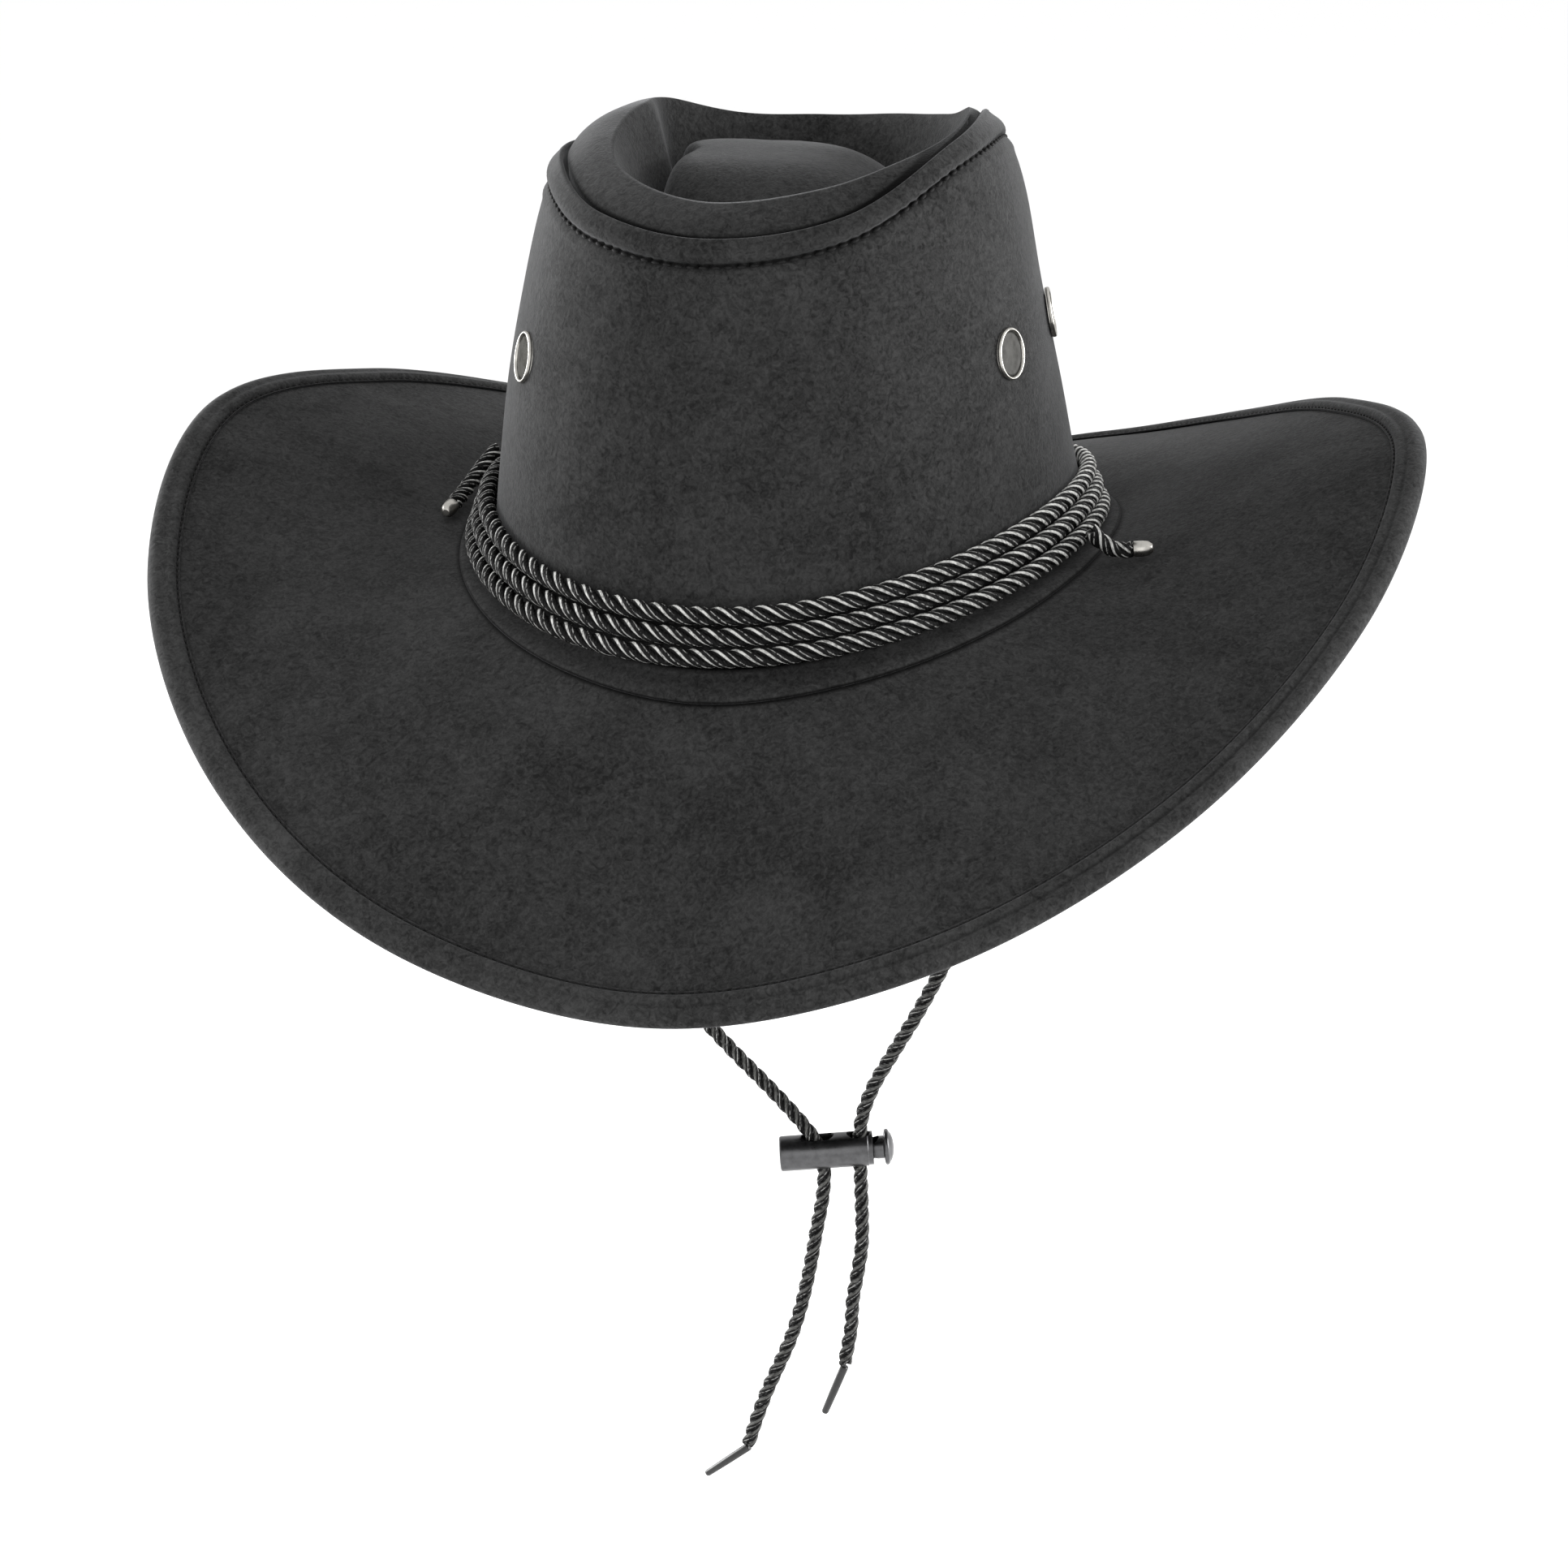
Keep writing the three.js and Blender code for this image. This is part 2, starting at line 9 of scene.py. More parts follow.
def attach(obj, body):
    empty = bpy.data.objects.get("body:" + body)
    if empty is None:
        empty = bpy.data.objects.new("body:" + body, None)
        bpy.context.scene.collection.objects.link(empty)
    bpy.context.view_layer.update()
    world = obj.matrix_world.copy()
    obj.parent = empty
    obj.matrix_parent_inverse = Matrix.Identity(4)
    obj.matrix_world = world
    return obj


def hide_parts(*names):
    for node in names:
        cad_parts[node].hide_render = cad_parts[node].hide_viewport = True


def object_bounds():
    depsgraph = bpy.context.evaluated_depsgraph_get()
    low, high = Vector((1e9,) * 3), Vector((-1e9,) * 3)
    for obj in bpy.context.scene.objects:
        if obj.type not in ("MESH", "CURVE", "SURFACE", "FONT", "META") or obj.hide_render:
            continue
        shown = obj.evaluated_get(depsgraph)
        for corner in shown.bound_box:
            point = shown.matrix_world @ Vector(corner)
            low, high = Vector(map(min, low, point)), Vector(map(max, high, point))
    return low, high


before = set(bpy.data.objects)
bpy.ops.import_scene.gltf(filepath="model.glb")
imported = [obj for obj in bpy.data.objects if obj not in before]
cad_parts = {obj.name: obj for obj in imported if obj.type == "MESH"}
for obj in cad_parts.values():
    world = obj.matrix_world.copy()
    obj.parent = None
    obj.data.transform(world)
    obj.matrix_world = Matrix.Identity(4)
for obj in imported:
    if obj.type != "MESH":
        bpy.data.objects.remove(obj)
cad_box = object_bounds()


# Camera.
# It looks slightly down on the front of the hat from its left side, with the small roll and
# sideways shift of the picture's framing.
camera_azimuth = math.radians(14.3)
camera_elevation = math.radians(18.4)
camera_roll = math.radians(-1.28)
camera_distance = 1.045
camera_target = Vector((0, 0, -0.0711))
camera_lens = 81.45
camera_shift = -0.0097

view_back = Vector((
    math.sin(camera_azimuth) * math.cos(camera_elevation),
    -math.cos(camera_azimuth) * math.cos(camera_elevation),
    math.sin(camera_elevation),
))
level_right = Vector((math.cos(camera_azimuth), math.sin(camera_azimuth), 0))
level_up = view_back.cross(level_right)
view_right = level_right * math.cos(camera_roll) + level_up * math.sin(camera_roll)
view_up = level_up * math.cos(camera_roll) - level_right * math.sin(camera_roll)

camera_data = bpy.data.cameras.new("camera")
camera_data.lens = camera_lens
camera_data.sensor_width = 36
camera_data.shift_x = camera_shift
camera_data.clip_end = 20
camera = bpy.data.objects.new("camera", camera_data)
bpy.context.scene.collection.objects.link(camera)
camera.matrix_world = Matrix.Translation(camera_target + view_back * camera_distance) @ Matrix((
    view_right, view_up, view_back,
)).transposed().to_4x4()
bpy.context.scene.camera = camera


# Crown wall.
# One band of stiffened charcoal suede, cut to an oval foot and drawn in towards the top. Its
# upper edge is turned over and stitched down into a padded collar.
base_length = 0.200
base_width = 0.168
base_saddle = 0.0074
cloth = 0.002
gap = 0.00035
crown_height = 0.112
crown_taper = 0.020
crown_seat = 0.0008
collar_height = 0.0060
collar_swell = 0.0013
collar_round = 0.0011
seam_depth = 0.0011
seam_width = 0.0010
pucker_pitch = 0.0034
pucker_ridge = 0.0003
ridge_below = 0.0030
ridge_spread = 0.0014
wall_unevenness = 0.0008
crown_turns = 288

# Every 30 degrees round the crown, from the front over the wearer's left side. inset, bulge and
# shoulder, how far the top bends in, are shares of crown_taper, rise is a share of crown_height
# and collar a share of collar_height.
crown_rows = {
    "inset": (0.64, 0.62, 0.71, 0.97, 1.07, 1.07, 1.07, 1.04, 1.02, 1.07, 1.02, 0.78),
    "rise": (0.925, 0.965, 1.10, 1.122, 1.02, 0.885, 0.83, 0.88, 0.97, 1.035, 1.035, 0.965),
    "bulge": (0.08, 0.05, 0.01, -0.02, -0.04, -0.02, -0.02, -0.01, 0.02, 0.08, 0.18, 0.18),
    "shoulder": (0, 0, 0.12, 0.35, 0.28, 0.06, 0, 0, 0.02, 0.1, 0.05, 0),
    "collar": (0.95, 0.88, 0.85, 0.95, 0.9, 0.9, 0.9, 0.9, 0.95, 1.1, 1.05, 1.0),
}


def around(values, turn):
    """A closed row of values at directions round the hat, smoothed through its entries."""
    values = np.asarray(values, float)
    at = np.mod(np.asarray(turn, float) / (2 * np.pi), 1) * len(values)
    row = np.floor(at).astype(int)
    f = at - row
    before, here, after, later = (values[(row + k) % len(values)] for k in (-1, 0, 1, 2))
    start = (after - before) / 2
    end = (later - here) / 2
    rise = after - here
    return here + f * (start + f * (3 * rise - 2 * start - end + f * (start + end - 2 * rise)))


def outward(turn):
    """The level direction away from the crown."""
    turn = np.asarray(turn, float)
    way = np.stack([base_length * np.sin(turn), -base_width * np.cos(turn), 0 * turn], -1)
    return way / np.linalg.norm(way, axis=-1, keepdims=True)


def foot(turn, out, height=0):
    """A point at a distance out from the crown's oval foot, on its saddle-shaped level."""
    turn = np.asarray(turn, float)
    oval = np.stack([
        base_width / 2 * np.sin(turn),
        -base_length / 2 * np.cos(turn),
        height - base_saddle * np.cos(2 * turn),
    ], -1)
    return oval + outward(turn) * np.asarray(out)[..., None]


def wall_point(turn, share, out=0):
    """The crown wall's outer face at a share of its height, moved out by a distance."""
    inset = around(crown_rows["inset"], turn) * share
    bulge = around(crown_rows["bulge"], turn) * 4 * share * (1 - share)
    shoulder = around(crown_rows["shoulder"], turn) * share ** 14
    point = foot(turn, crown_taper * (bulge - inset - shoulder) + out)
    top = around(crown_rows["rise"], turn) * crown_height
    point[..., 2] = (point[..., 2] + crown_seat) * (1 - share) + top * share
    return point


def hump(distance, spread):
    """1 where the distance is 0, and next to nothing two spreads away."""
    return np.exp(-(distance / spread) ** 2)


def mesh_object(name, points, faces):
    mesh = bpy.data.meshes.new(name)
    mesh.from_pydata([tuple(p) for p in points], [], faces)
    mesh.validate()
    mesh.shade_smooth()
    piece = bpy.data.objects.new(name, mesh)
    bpy.context.scene.collection.objects.link(piece)
    return piece


def skin(name, rings, painted_shades=None):
    """A closed skin through rings of points. A ring of one point is a pole; without poles the
    last ring joins the first. The last argument is the painted shade of each ring, from 0 to 1,
    which darkens its colour where folds, grooves and hidden faces would lie in shadow."""
    points = []
    starts = []
    for ring in rings:
        starts.append(len(points))
        points.extend(ring)
    poled = len(rings[0]) == 1
    faces = []
    for r in range(len(rings) - 1 if poled else len(rings)):
        low, high = r, (r + 1) % len(rings)
        count = max(len(rings[low]), len(rings[high]))
        for k in range(count):
            after = (k + 1) % count
            a, b = (starts[low] + i % len(rings[low]) for i in (k, after))
            c, d = (starts[high] + i % len(rings[high]) for i in (after, k))
            if a == b:
                faces.append((a, c, d))
            elif c == d:
                faces.append((a, b, c))
            else:
                faces.append((a, b, c, d))
    piece = mesh_object(name, points, faces)
    # Painted shade: stored per point, it mixes the suede's colour towards near black.
    if painted_shades is not None:
        shade_amount = np.concatenate([np.broadcast_to(c, len(ring)) for c, ring in zip(painted_shades, rings)])
        painted_shade = piece.data.attributes.new("painted_shade", "FLOAT", "POINT")
        painted_shade.data.foreach_set("value", shade_amount.astype(np.float32))
    return piece


def wave(points, size, seed):
    """A slow unevenness from -1 to 1 at each point, as in cloth that was handled."""
    shift = Vector((seed, 2 * seed, 3 * seed))
    return np.array([noise.noise(Vector(p) / size + shift) for p in points.reshape(-1, 3)]).reshape(
        points.shape[:-1])


def nodes_of(material):
    material.use_nodes = True
    material.node_tree.nodes.clear()
    return material.node_tree


def add(tree, kind, inputs=None, **settings):
    """Adds a node, sets its settings, and links or sets its inputs by name or number."""
    node = tree.nodes.new(kind)
    for name, value in settings.items():
        setattr(node, name, value)
    for name, value in (inputs or {}).items():
        if isinstance(value, bpy.types.NodeSocket):
            tree.links.new(value, node.inputs[name])
        else:
            node.inputs[name].default_value = value
    return node


def ramp(tree, factor, stops):
    """Colours at places along a factor from 0 to 1."""
    node = add(tree, "ShaderNodeValToRGB", {"Fac": factor})
    elements = node.color_ramp.elements
    while len(elements) < len(stops):
        elements.new(0.5)
    for element, (place, colour) in zip(elements, stops):
        element.position = place
        element.color = (*colour, 1)
    return node.outputs["Color"]


def grey(level):
    return (level, level, level)


def suede(name, dark, light, sheen):
    """Brushed suede: a fine worm-like nap over soft hand marks, with painted shade that darkens its colour
    towards near black where the mesh's painted shade attribute is set.
    """
    material = bpy.data.materials.new(name)
    tree = nodes_of(material)
    place = add(tree, "ShaderNodeTexCoord").outputs["Object"]
    nap = add(tree, "ShaderNodeTexNoise", {
        "Vector": place, "Scale": 700, "Detail": 4, "Roughness": 0.6, "Distortion": 1.2})
    tufts = add(tree, "ShaderNodeTexNoise", {
        "Vector": place, "Scale": 260, "Detail": 3, "Roughness": 0.6, "Distortion": 2.4})
    marks = add(tree, "ShaderNodeTexNoise", {
        "Vector": place, "Scale": 34, "Detail": 4, "Roughness": 0.55, "Distortion": 0.6})
    fibres = add(tree, "ShaderNodeMix", {
        "Factor": 0.45, "A": nap.outputs["Fac"], "B": tufts.outputs["Fac"]})
    tone = add(tree, "ShaderNodeMix", {
        "Factor": 0.24, "A": fibres.outputs["Result"], "B": marks.outputs["Fac"]})
    unshaded_colour = ramp(tree, tone.outputs["Result"], ((0.39, dark), (0.61, light)))
    # Painted shade: the colour goes towards near black by the mesh's shade attribute, standing for shadow in
    # folds, grooves and hidden faces.
    painted_shade = add(tree, "ShaderNodeAttribute", attribute_name="painted_shade").outputs["Fac"]
    with_painted_shade = add(tree, "ShaderNodeMix", {
        "Factor": painted_shade, "A": unshaded_colour, "B": (0.001, 0.001, 0.001, 1)}, data_type="RGBA")
    relief = add(tree, "ShaderNodeBump", {
        "Height": fibres.outputs["Result"], "Strength": 0.6, "Distance": 0.0004})
    cloth_shader = add(tree, "ShaderNodeBsdfPrincipled", {
        "Base Color": with_painted_shade.outputs["Result"], "Roughness": 0.95, "Specular IOR Level": 0.1,
        "Sheen Weight": sheen, "Sheen Roughness": 0.36, "Sheen Tint": (0.92, 0.93, 0.95, 1),
        "Normal": relief.outputs["Normal"]})
    add(tree, "ShaderNodeOutputMaterial", {"Surface": cloth_shader.outputs["BSDF"]})
    return material


crown_suede = suede("crown_suede", grey(0.009), grey(0.038), 0.2)

turn = np.arange(crown_turns) * 2 * np.pi / crown_turns
wall_length = np.linalg.norm(wall_point(turn, 1.0) - wall_point(turn, 0.0), axis=-1)
collar_arc = np.cumsum(np.linalg.norm(
    np.roll(wall_point(turn, 1.0), -1, axis=0) - wall_point(turn, 1.0), axis=-1))
pucker = np.cos(2 * np.pi * np.round(collar_arc[-1] / pucker_pitch) * collar_arc / collar_arc[-1])
collar = collar_height * around(crown_rows["collar"], turn)


def wall_ring(below_collar, out=None):
    """A ring of the outer face at a distance below the collar's stitches, drawn in at their
    fold unless its distance out is given."""
    if out is None:
        fold = hump(below_collar, seam_width)
        ridge = hump(below_collar - ridge_below, ridge_spread)
        out = pucker_ridge * (1 - 0.9 * pucker) * ridge - seam_depth * (0.8 + 0.4 * pucker) * fold
    below_top = collar + below_collar
    ring = wall_point(turn, 1 - below_top / wall_length, out)
    calm = min(1, max(0, below_collar) / 0.012) * min(1, max(0, 0.1 - below_collar) / 0.02)
    return ring + outward(turn) * (wave(ring, 0.035, 3.7) * wall_unevenness * calm)[:, None]


def collar_ring(share, inward=0, raised=0):
    """A ring of the padded collar: 0 at its upper edge, 1 at its stitches."""
    padded = math.sin(math.pi * share ** 0.8) ** 0.9 if 0 < share < 1 else 0
    fold = hump((1 - share) * collar_height, seam_width)
    out = collar_swell * padded * (1 - 0.12 * pucker) - inward * cloth
    out = out - seam_depth * (0.8 + 0.4 * pucker) * fold
    return wall_point(turn, 1 - collar * share / wall_length, out) + lip * raised * collar_round


lip = np.array((0, 0, 1.0))
# The foot of the wall gets painted shade, where the brim and cords would shadow it.
wall_rings = [wall_point(turn, 0.0), wall_point(turn, 0.03)]
wall_painted_shade = [0.6, 0.5]

# Outside, up to the stitches, with closer rings near their fold, and painted shade along the stitch fold.
for below in (*np.linspace(0.099, 0.0080, 32), 0.0062, 0.0050, 0.0042, 0.0035, 0.0029, 0.0023, 0.0018,
              0.0014, 0.0010, 0.0007, 0.0004, 0.0002, 0.0):
    wall_rings.append(wall_ring(below))
    wall_painted_shade.append((0.7 + 0.3 * pucker) * hump(max(0, below - 0.0004), 0.0007))

# The padded collar, its turned upper edge, and down the inside, with painted shade next to the stitches,
# under the turned edge and over the inside.
for share in (0.96, 0.91, 0.85, 0.76, 0.64, 0.5, 0.36, 0.22, 0.1):
    wall_rings.append(collar_ring(share))
    wall_painted_shade.append(0.9 * hump((1 - share) * collar_height, 0.0008))
for inward, raised, dark in (
    (0, 0.3, 0), (0.15, 0.7, 0), (0.35, 0.95, 0), (0.55, 0.95, 0.1), (0.75, 0.75, 0.4), (0.9, 0.4, 0.75),
):
    wall_rings.append(collar_ring(0, inward, raised))
    wall_painted_shade.append(dark)
wall_rings += [wall_point(turn, share, -cloth) for share in np.linspace(0.99, 0.0, 24)]
wall_painted_shade += [0.9, 0.9] + [0.2] * 22
crown_wall = skin("crown_wall_suede", wall_rings, wall_painted_shade)
crown_wall.data.materials.append(crown_suede)
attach(crown_wall, "hat")
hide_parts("crown_wall")


# Crown tip.
# The suede top, sewn inside the collar. It rolls up over a soft rim, drops into the pinched
# dent and swells again to a broad dome in the middle.
tip_roll = 0.019
tip_dent = 0.034
tip_skirt = 0.003
dome_height = 0.1144
dome_back = 0.006
dome_side = -0.016
tip_groove = 0.0012
tip_sink = 0.0024
groove_shade = 0.0004
tip_unevenness = 0.0004

# The same twelve directions. crest_in is a share of tip_roll, valley_in of tip_dent, crest and
# valley are heights as shares of crown_height, swell is how steeply the dome rises and edge how
# sharp the crest is folded. The last row gives how much painted shade darkens the fold at the dome's foot.
tip_rows = {
    "crest_in": (0.6, 0.52, 0.3, 0.16, 0.4, 0.68, 0.78, 0.76, 0.72, 0.95, 0.95, 0.75),
    "crest": (1.0, 1.03, 1.096, 1.13, 1.078, 1.049, 1.037, 1.05, 1.112, 1.137, 1.105, 1.045),
    "valley_in": (1.0, 0.93, 0.72, 0.52, 0.55, 0.75, 0.9, 0.78, 0.6, 0.84, 0.95, 1.0),
    "valley": (0.83, 0.84, 0.865, 0.88, 0.88, 0.875, 0.87, 0.875, 0.885, 0.885, 0.87, 0.85),
    "swell": (3.4, 3.2, 3, 3.2, 4.2, 4.2, 4.5, 6, 9, 12, 9, 5),
    "edge": (0.8, 0.85, 0.85, 0.7, 0.3, 0.25, 0.25, 0.25, 0.15, 0.1, 0.35, 0.7),
    "furrow_shade": (0.1, 0, 0, 0, 0, 0, 0.1, 0.3, 0.6, 0.7, 0.6, 0.3),
}


def tip_ring(stretch, x):
    """A ring of the tip. The stretches are skirt, roll, fold and dome, each from 0 to 1."""
    seam = wall_point(turn, 1.0, -cloth - gap)
    centre = np.array((dome_side, dome_back, dome_height))
    span = np.linalg.norm((seam - centre)[:, :2], axis=-1)
    row = {name: around(values, turn) for name, values in tip_rows.items()}
    opened = 1 - 0.8 * np.clip(around(crown_rows["shoulder"], turn) / 0.35, 0, 1)
    groove, sink = tip_groove * opened, tip_sink * opened
    crest_at = row["crest_in"] * tip_roll / span
    valley_at = row["valley_in"] * tip_dent / span
    crest = row["crest"] * crown_height
    valley = row["valley"] * crown_height
    if stretch == "skirt":
        share = groove / span
        height = seam[:, 2] - sink - (1 - x) * tip_skirt
    elif stretch == "roll":
        share = crest_at * (1 - math.cos(math.pi / 2 * x))
        folded = (share / crest_at) ** 0.6
        lifted = math.sin(math.pi / 2 * x) * (1 - row["edge"]) + folded * row["edge"]
        start = seam[:, 2] - sink
        height = start + (crest - start) * lifted
        share = np.maximum(share, groove / span * (1 - x))
    elif stretch == "fold":
        share = crest_at + (valley_at - crest_at) * x
        dropped = (0.5 - 0.5 * math.cos(math.pi * x)) * (1 - row["edge"])
        dropped = dropped + row["edge"] * math.sin(math.pi / 2 * x) ** 0.9
        height = crest + (valley - crest) * dropped
    else:
        share = valley_at + (1 - valley_at) * x
        height = valley + (dome_height - valley) * (1 - (1 - x) ** row["swell"])
    ring = seam + (centre - seam) * share[:, None]
    ring[:, 2] = height
    return ring


def pushed_in(rings, distance):
    """The same grid of rings, moved in along its own normals by a distance."""
    grid = np.stack(rings)
    along = np.roll(grid, -1, axis=1) - np.roll(grid, 1, axis=1)
    across = np.gradient(grid, axis=0)
    normal = np.cross(along, across)
    normal /= np.linalg.norm(normal, axis=-1, keepdims=True) + 1e-12
    return list(grid - normal * distance)


# From the skirt under the collar to the middle of the dome, with the painted shade of each ring: near black
# on the skirt and in the groove under the collar, and darker where the fold meets the dome.
furrow_shade = around(tip_rows["furrow_shade"], turn)
tip_outer = [tip_ring("skirt", x) for x in (0, 0.5)]
tip_painted_shade = [1.0, 1.0]
roll_rise = tip_ring("roll", 1)[:, 2] - wall_point(turn, 1.0)[:, 2]
hidden = np.clip(0.2 * roll_rise, 0, 0.0008)
for x in np.linspace(0, 1, 22):
    tip_outer.append(tip_ring("roll", x))
    above_wall = tip_outer[-1][:, 2] - wall_point(turn, 1.0)[:, 2]
    tip_painted_shade.append(hump(np.maximum(0, above_wall - hidden), groove_shade))
for x in np.linspace(0, 1, 22)[1:] ** 1.3:
    tip_outer.append(tip_ring("fold", x))
    tip_painted_shade.append(furrow_shade * hump(1 - x, 0.14))
for x in np.linspace(0, 1, 26)[1:-1] ** 1.6:
    tip_outer.append(tip_ring("dome", x))
    tip_painted_shade.append(furrow_shade * hump(x, 0.06))
uneven = wave(np.stack(tip_outer), 0.022, 8.1)
fade = np.clip(np.arange(len(tip_outer)) / 20, 0, 1)[:, None]
tip_outer = [
    ring + lip * (tip_unevenness * lift)[:, None] for ring, lift in zip(tip_outer, uneven * fade)]
tip_inner = pushed_in(tip_outer, cloth)
pole = [np.array((dome_side, dome_back, dome_height))]
inner_pole = [np.array((dome_side, dome_back, dome_height - cloth))]
# The inside faces get a light painted shade.
crown_tip = skin(
    "crown_tip_suede", [inner_pole, *tip_inner[::-1], *tip_outer, pole],
    [0.2, *[0.2] * len(tip_inner), *tip_painted_shade, 0])
crown_tip.data.materials.append(crown_suede)
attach(crown_tip, "hat")
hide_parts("crown_tip")


# Collar stitches.
# One row of black lock stitches in stout thread. It holds the turned collar down and is pulled
# into the groove under it.
def stitch_tree():
    """Short stitches along a line, each a rounded bead of thread."""
    tree = bpy.data.node_groups.new("lock_stitches", "GeometryNodeTree")
    sockets = tree.interface
    sockets.new_socket("Geometry", in_out="INPUT", socket_type="NodeSocketGeometry")
    for name in ("Stitch pitch", "Stitch length", "Thread thickness"):
        sockets.new_socket(name, in_out="INPUT", socket_type="NodeSocketFloat")
    sockets.new_socket("Thread", in_out="INPUT", socket_type="NodeSocketMaterial")
    sockets.new_socket("Geometry", in_out="OUTPUT", socket_type="NodeSocketGeometry")
    given = add(tree, "NodeGroupInput").outputs
    places = add(tree, "GeometryNodeResampleCurve", {
        "Curve": given["Geometry"], "Length": given["Stitch pitch"]}, mode="LENGTH")
    tangent = add(tree, "GeometryNodeInputTangent")
    facing = add(tree, "FunctionNodeAlignRotationToVector", {
        "Vector": tangent.outputs["Tangent"]}, axis="X")
    bead = add(tree, "GeometryNodeMeshUVSphere", {"Segments": 6, "Rings": 5, "Radius": 0.5})
    size = add(tree, "ShaderNodeCombineXYZ", {
        "X": given["Stitch length"], "Y": given["Thread thickness"], "Z": given["Thread thickness"]})
    stitches = add(tree, "GeometryNodeInstanceOnPoints", {
        "Points": places.outputs["Curve"], "Instance": bead.outputs["Mesh"],
        "Rotation": facing.outputs["Rotation"], "Scale": size.outputs["Vector"]})
    real = add(tree, "GeometryNodeRealizeInstances", {"Geometry": stitches.outputs["Instances"]})
    round_ones = add(tree, "GeometryNodeSetShadeSmooth", {"Geometry": real.outputs["Geometry"]})
    finished = add(tree, "GeometryNodeSetMaterial", {
        "Geometry": round_ones.outputs["Geometry"], "Material": given["Thread"]})
    add(tree, "NodeGroupOutput", {"Geometry": finished.outputs["Geometry"]})
    return tree


def line_of(name, points, closed):
    """A poly curve through points in metres."""
    data = bpy.data.curves.new(name, "CURVE")
    data.dimensions = "3D"
    spline = data.splines.new("POLY")
    spline.points.add(len(points) - 1)
    for place, point in zip(spline.points, points):
        place.co = (*point, 1)
    spline.use_cyclic_u = closed
    line = bpy.data.objects.new(name, data)
    bpy.context.scene.collection.objects.link(line)
    return line


def grown(name, source, tree, values):
    """Runs a tree on a source object and keeps the result as a plain mesh."""
    modifier = source.modifiers.new("grow", "NODES")
    modifier.node_group = tree
    for item in tree.interface.items_tree:
        if item.in_out == "INPUT" and item.name in values:
            modifier[item.identifier] = values[item.name]
    source.update_tag()
    seen = source.evaluated_get(bpy.context.evaluated_depsgraph_get())
    mesh = bpy.data.meshes.new_from_object(seen)
    mesh.name = name
    source.modifiers.remove(modifier)
    bpy.data.objects.remove(source)
    piece = bpy.data.objects.new(name, mesh)
    bpy.context.scene.collection.objects.link(piece)
    return piece


def yarn(name, colour, roughness):
    """Plain spun thread, a little darker in its turns."""
    material = bpy.data.materials.new(name)
    tree = nodes_of(material)
    place = add(tree, "ShaderNodeTexCoord").outputs["Object"]
    twist = add(tree, "ShaderNodeTexNoise", {"Vector": place, "Scale": 2600, "Detail": 2})
    shade = ramp(tree, twist.outputs["Fac"], ((0.3, [0.5 * c for c in colour]), (0.7, colour)))
    shader = add(tree, "ShaderNodeBsdfPrincipled", {
        "Base Color": shade, "Roughness": roughness, "Specular IOR Level": 0.3})
    add(tree, "ShaderNodeOutputMaterial", {"Surface": shader.outputs["BSDF"]})
    return material


stitches_tree = stitch_tree()
black_thread = yarn("black_thread", grey(0.004), 0.8)
collar_line = line_of("collar_line", wall_ring(0.0006, np.full(crown_turns, -0.00045)), True)
collar_stitches = grown("collar_stitches", collar_line, stitches_tree, {
    "Stitch pitch": pucker_pitch, "Stitch length": 0.0026, "Thread thickness": 0.0010,
    "Thread": black_thread})
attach(collar_stitches, "hat")


# Brim.
# A wide brim of two plies of suede over a stiff core, sewn to the crown at its foot. Its sides
# turn up, and its front and back dip.
brim_width = 0.095
brim_curl = 1.35
edge_roll = 0.0019
brim_unevenness = 0.0009
ring_shade_from = 0.0102
brim_turns = 320

# Every 22.5 degrees from the front to the back, the two sides alike. Level reach, lift at the
# edge and bow at half width, as shares of brim_width.
brim_rows = {
    "reach": (0.755, 0.895, 0.975, 1.025, 0.995, 0.85, 0.8, 0.84, 0.87),
    "lift": (-0.75, -0.6, -0.34, 0.01, 0.315, 0.31, 0.187, 0.04, -0.08),
    "bow": (0.01, 0.02, 0.01, -0.01, 0.02, 0.03, 0.04, 0.05, 0.06),
}
brim_rows = {name: row + row[-2:0:-1] for name, row in brim_rows.items()}
brim_turn = np.arange(brim_turns) * 2 * np.pi / brim_turns


def brim_top(turn, share):
    """The brim's upper face, at a share of its width from the crown's foot."""
    reach, lift, bow = (around(brim_rows[name], turn) * brim_width for name in ("reach", "lift", "bow"))
    sloped = np.maximum(share, 0) + 0 * lift
    raised = np.where(lift > 0, sloped ** brim_curl, sloped)
    return foot(turn, reach * share, lift * raised + bow * 4 * sloped * (1 - sloped))


def brim_slant(turn):
    """The width of the brim, measured straight along its slope."""
    return np.hypot(around(brim_rows["reach"], turn), around(brim_rows["lift"], turn)) * brim_width


def brim_point(turn, out, above=0):
    """A point beside the brim, by its distance from the crown's foot, or from the edge where
    negative, and its height above the upper face."""
    slant = brim_slant(turn)
    share = np.where(np.asarray(out) < 0, 1 + out / slant, out / slant)
    level = np.maximum(share, 0.02)
    step = 0.01
    along = brim_top(turn + step, level) - brim_top(turn - step, level)
    across = brim_top(turn, level + step) - brim_top(turn, level - step)
    normal = np.cross(across, along)
    normal *= np.sign(normal[..., 2:3]) / np.linalg.norm(normal, axis=-1, keepdims=True)
    return brim_top(turn, share) + normal * np.asarray(above)[..., None]


def brim_ring(share, above):
    """A ring of the brim at a height above its upper face, wavy but for its two edges."""
    ring = brim_point(brim_turn, (brim_slant(brim_turn) - edge_roll) * share, above)
    calm = math.sin(math.pi * min(max(share, 0), 1)) ** 0.5 if 0 < share < 1 else 0
    ring[:, 2] += wave(ring, 0.045, 5.3) * brim_unevenness * calm
    return ring


brim_suede = suede("brim_suede", grey(0.010), grey(0.039), 0.06)

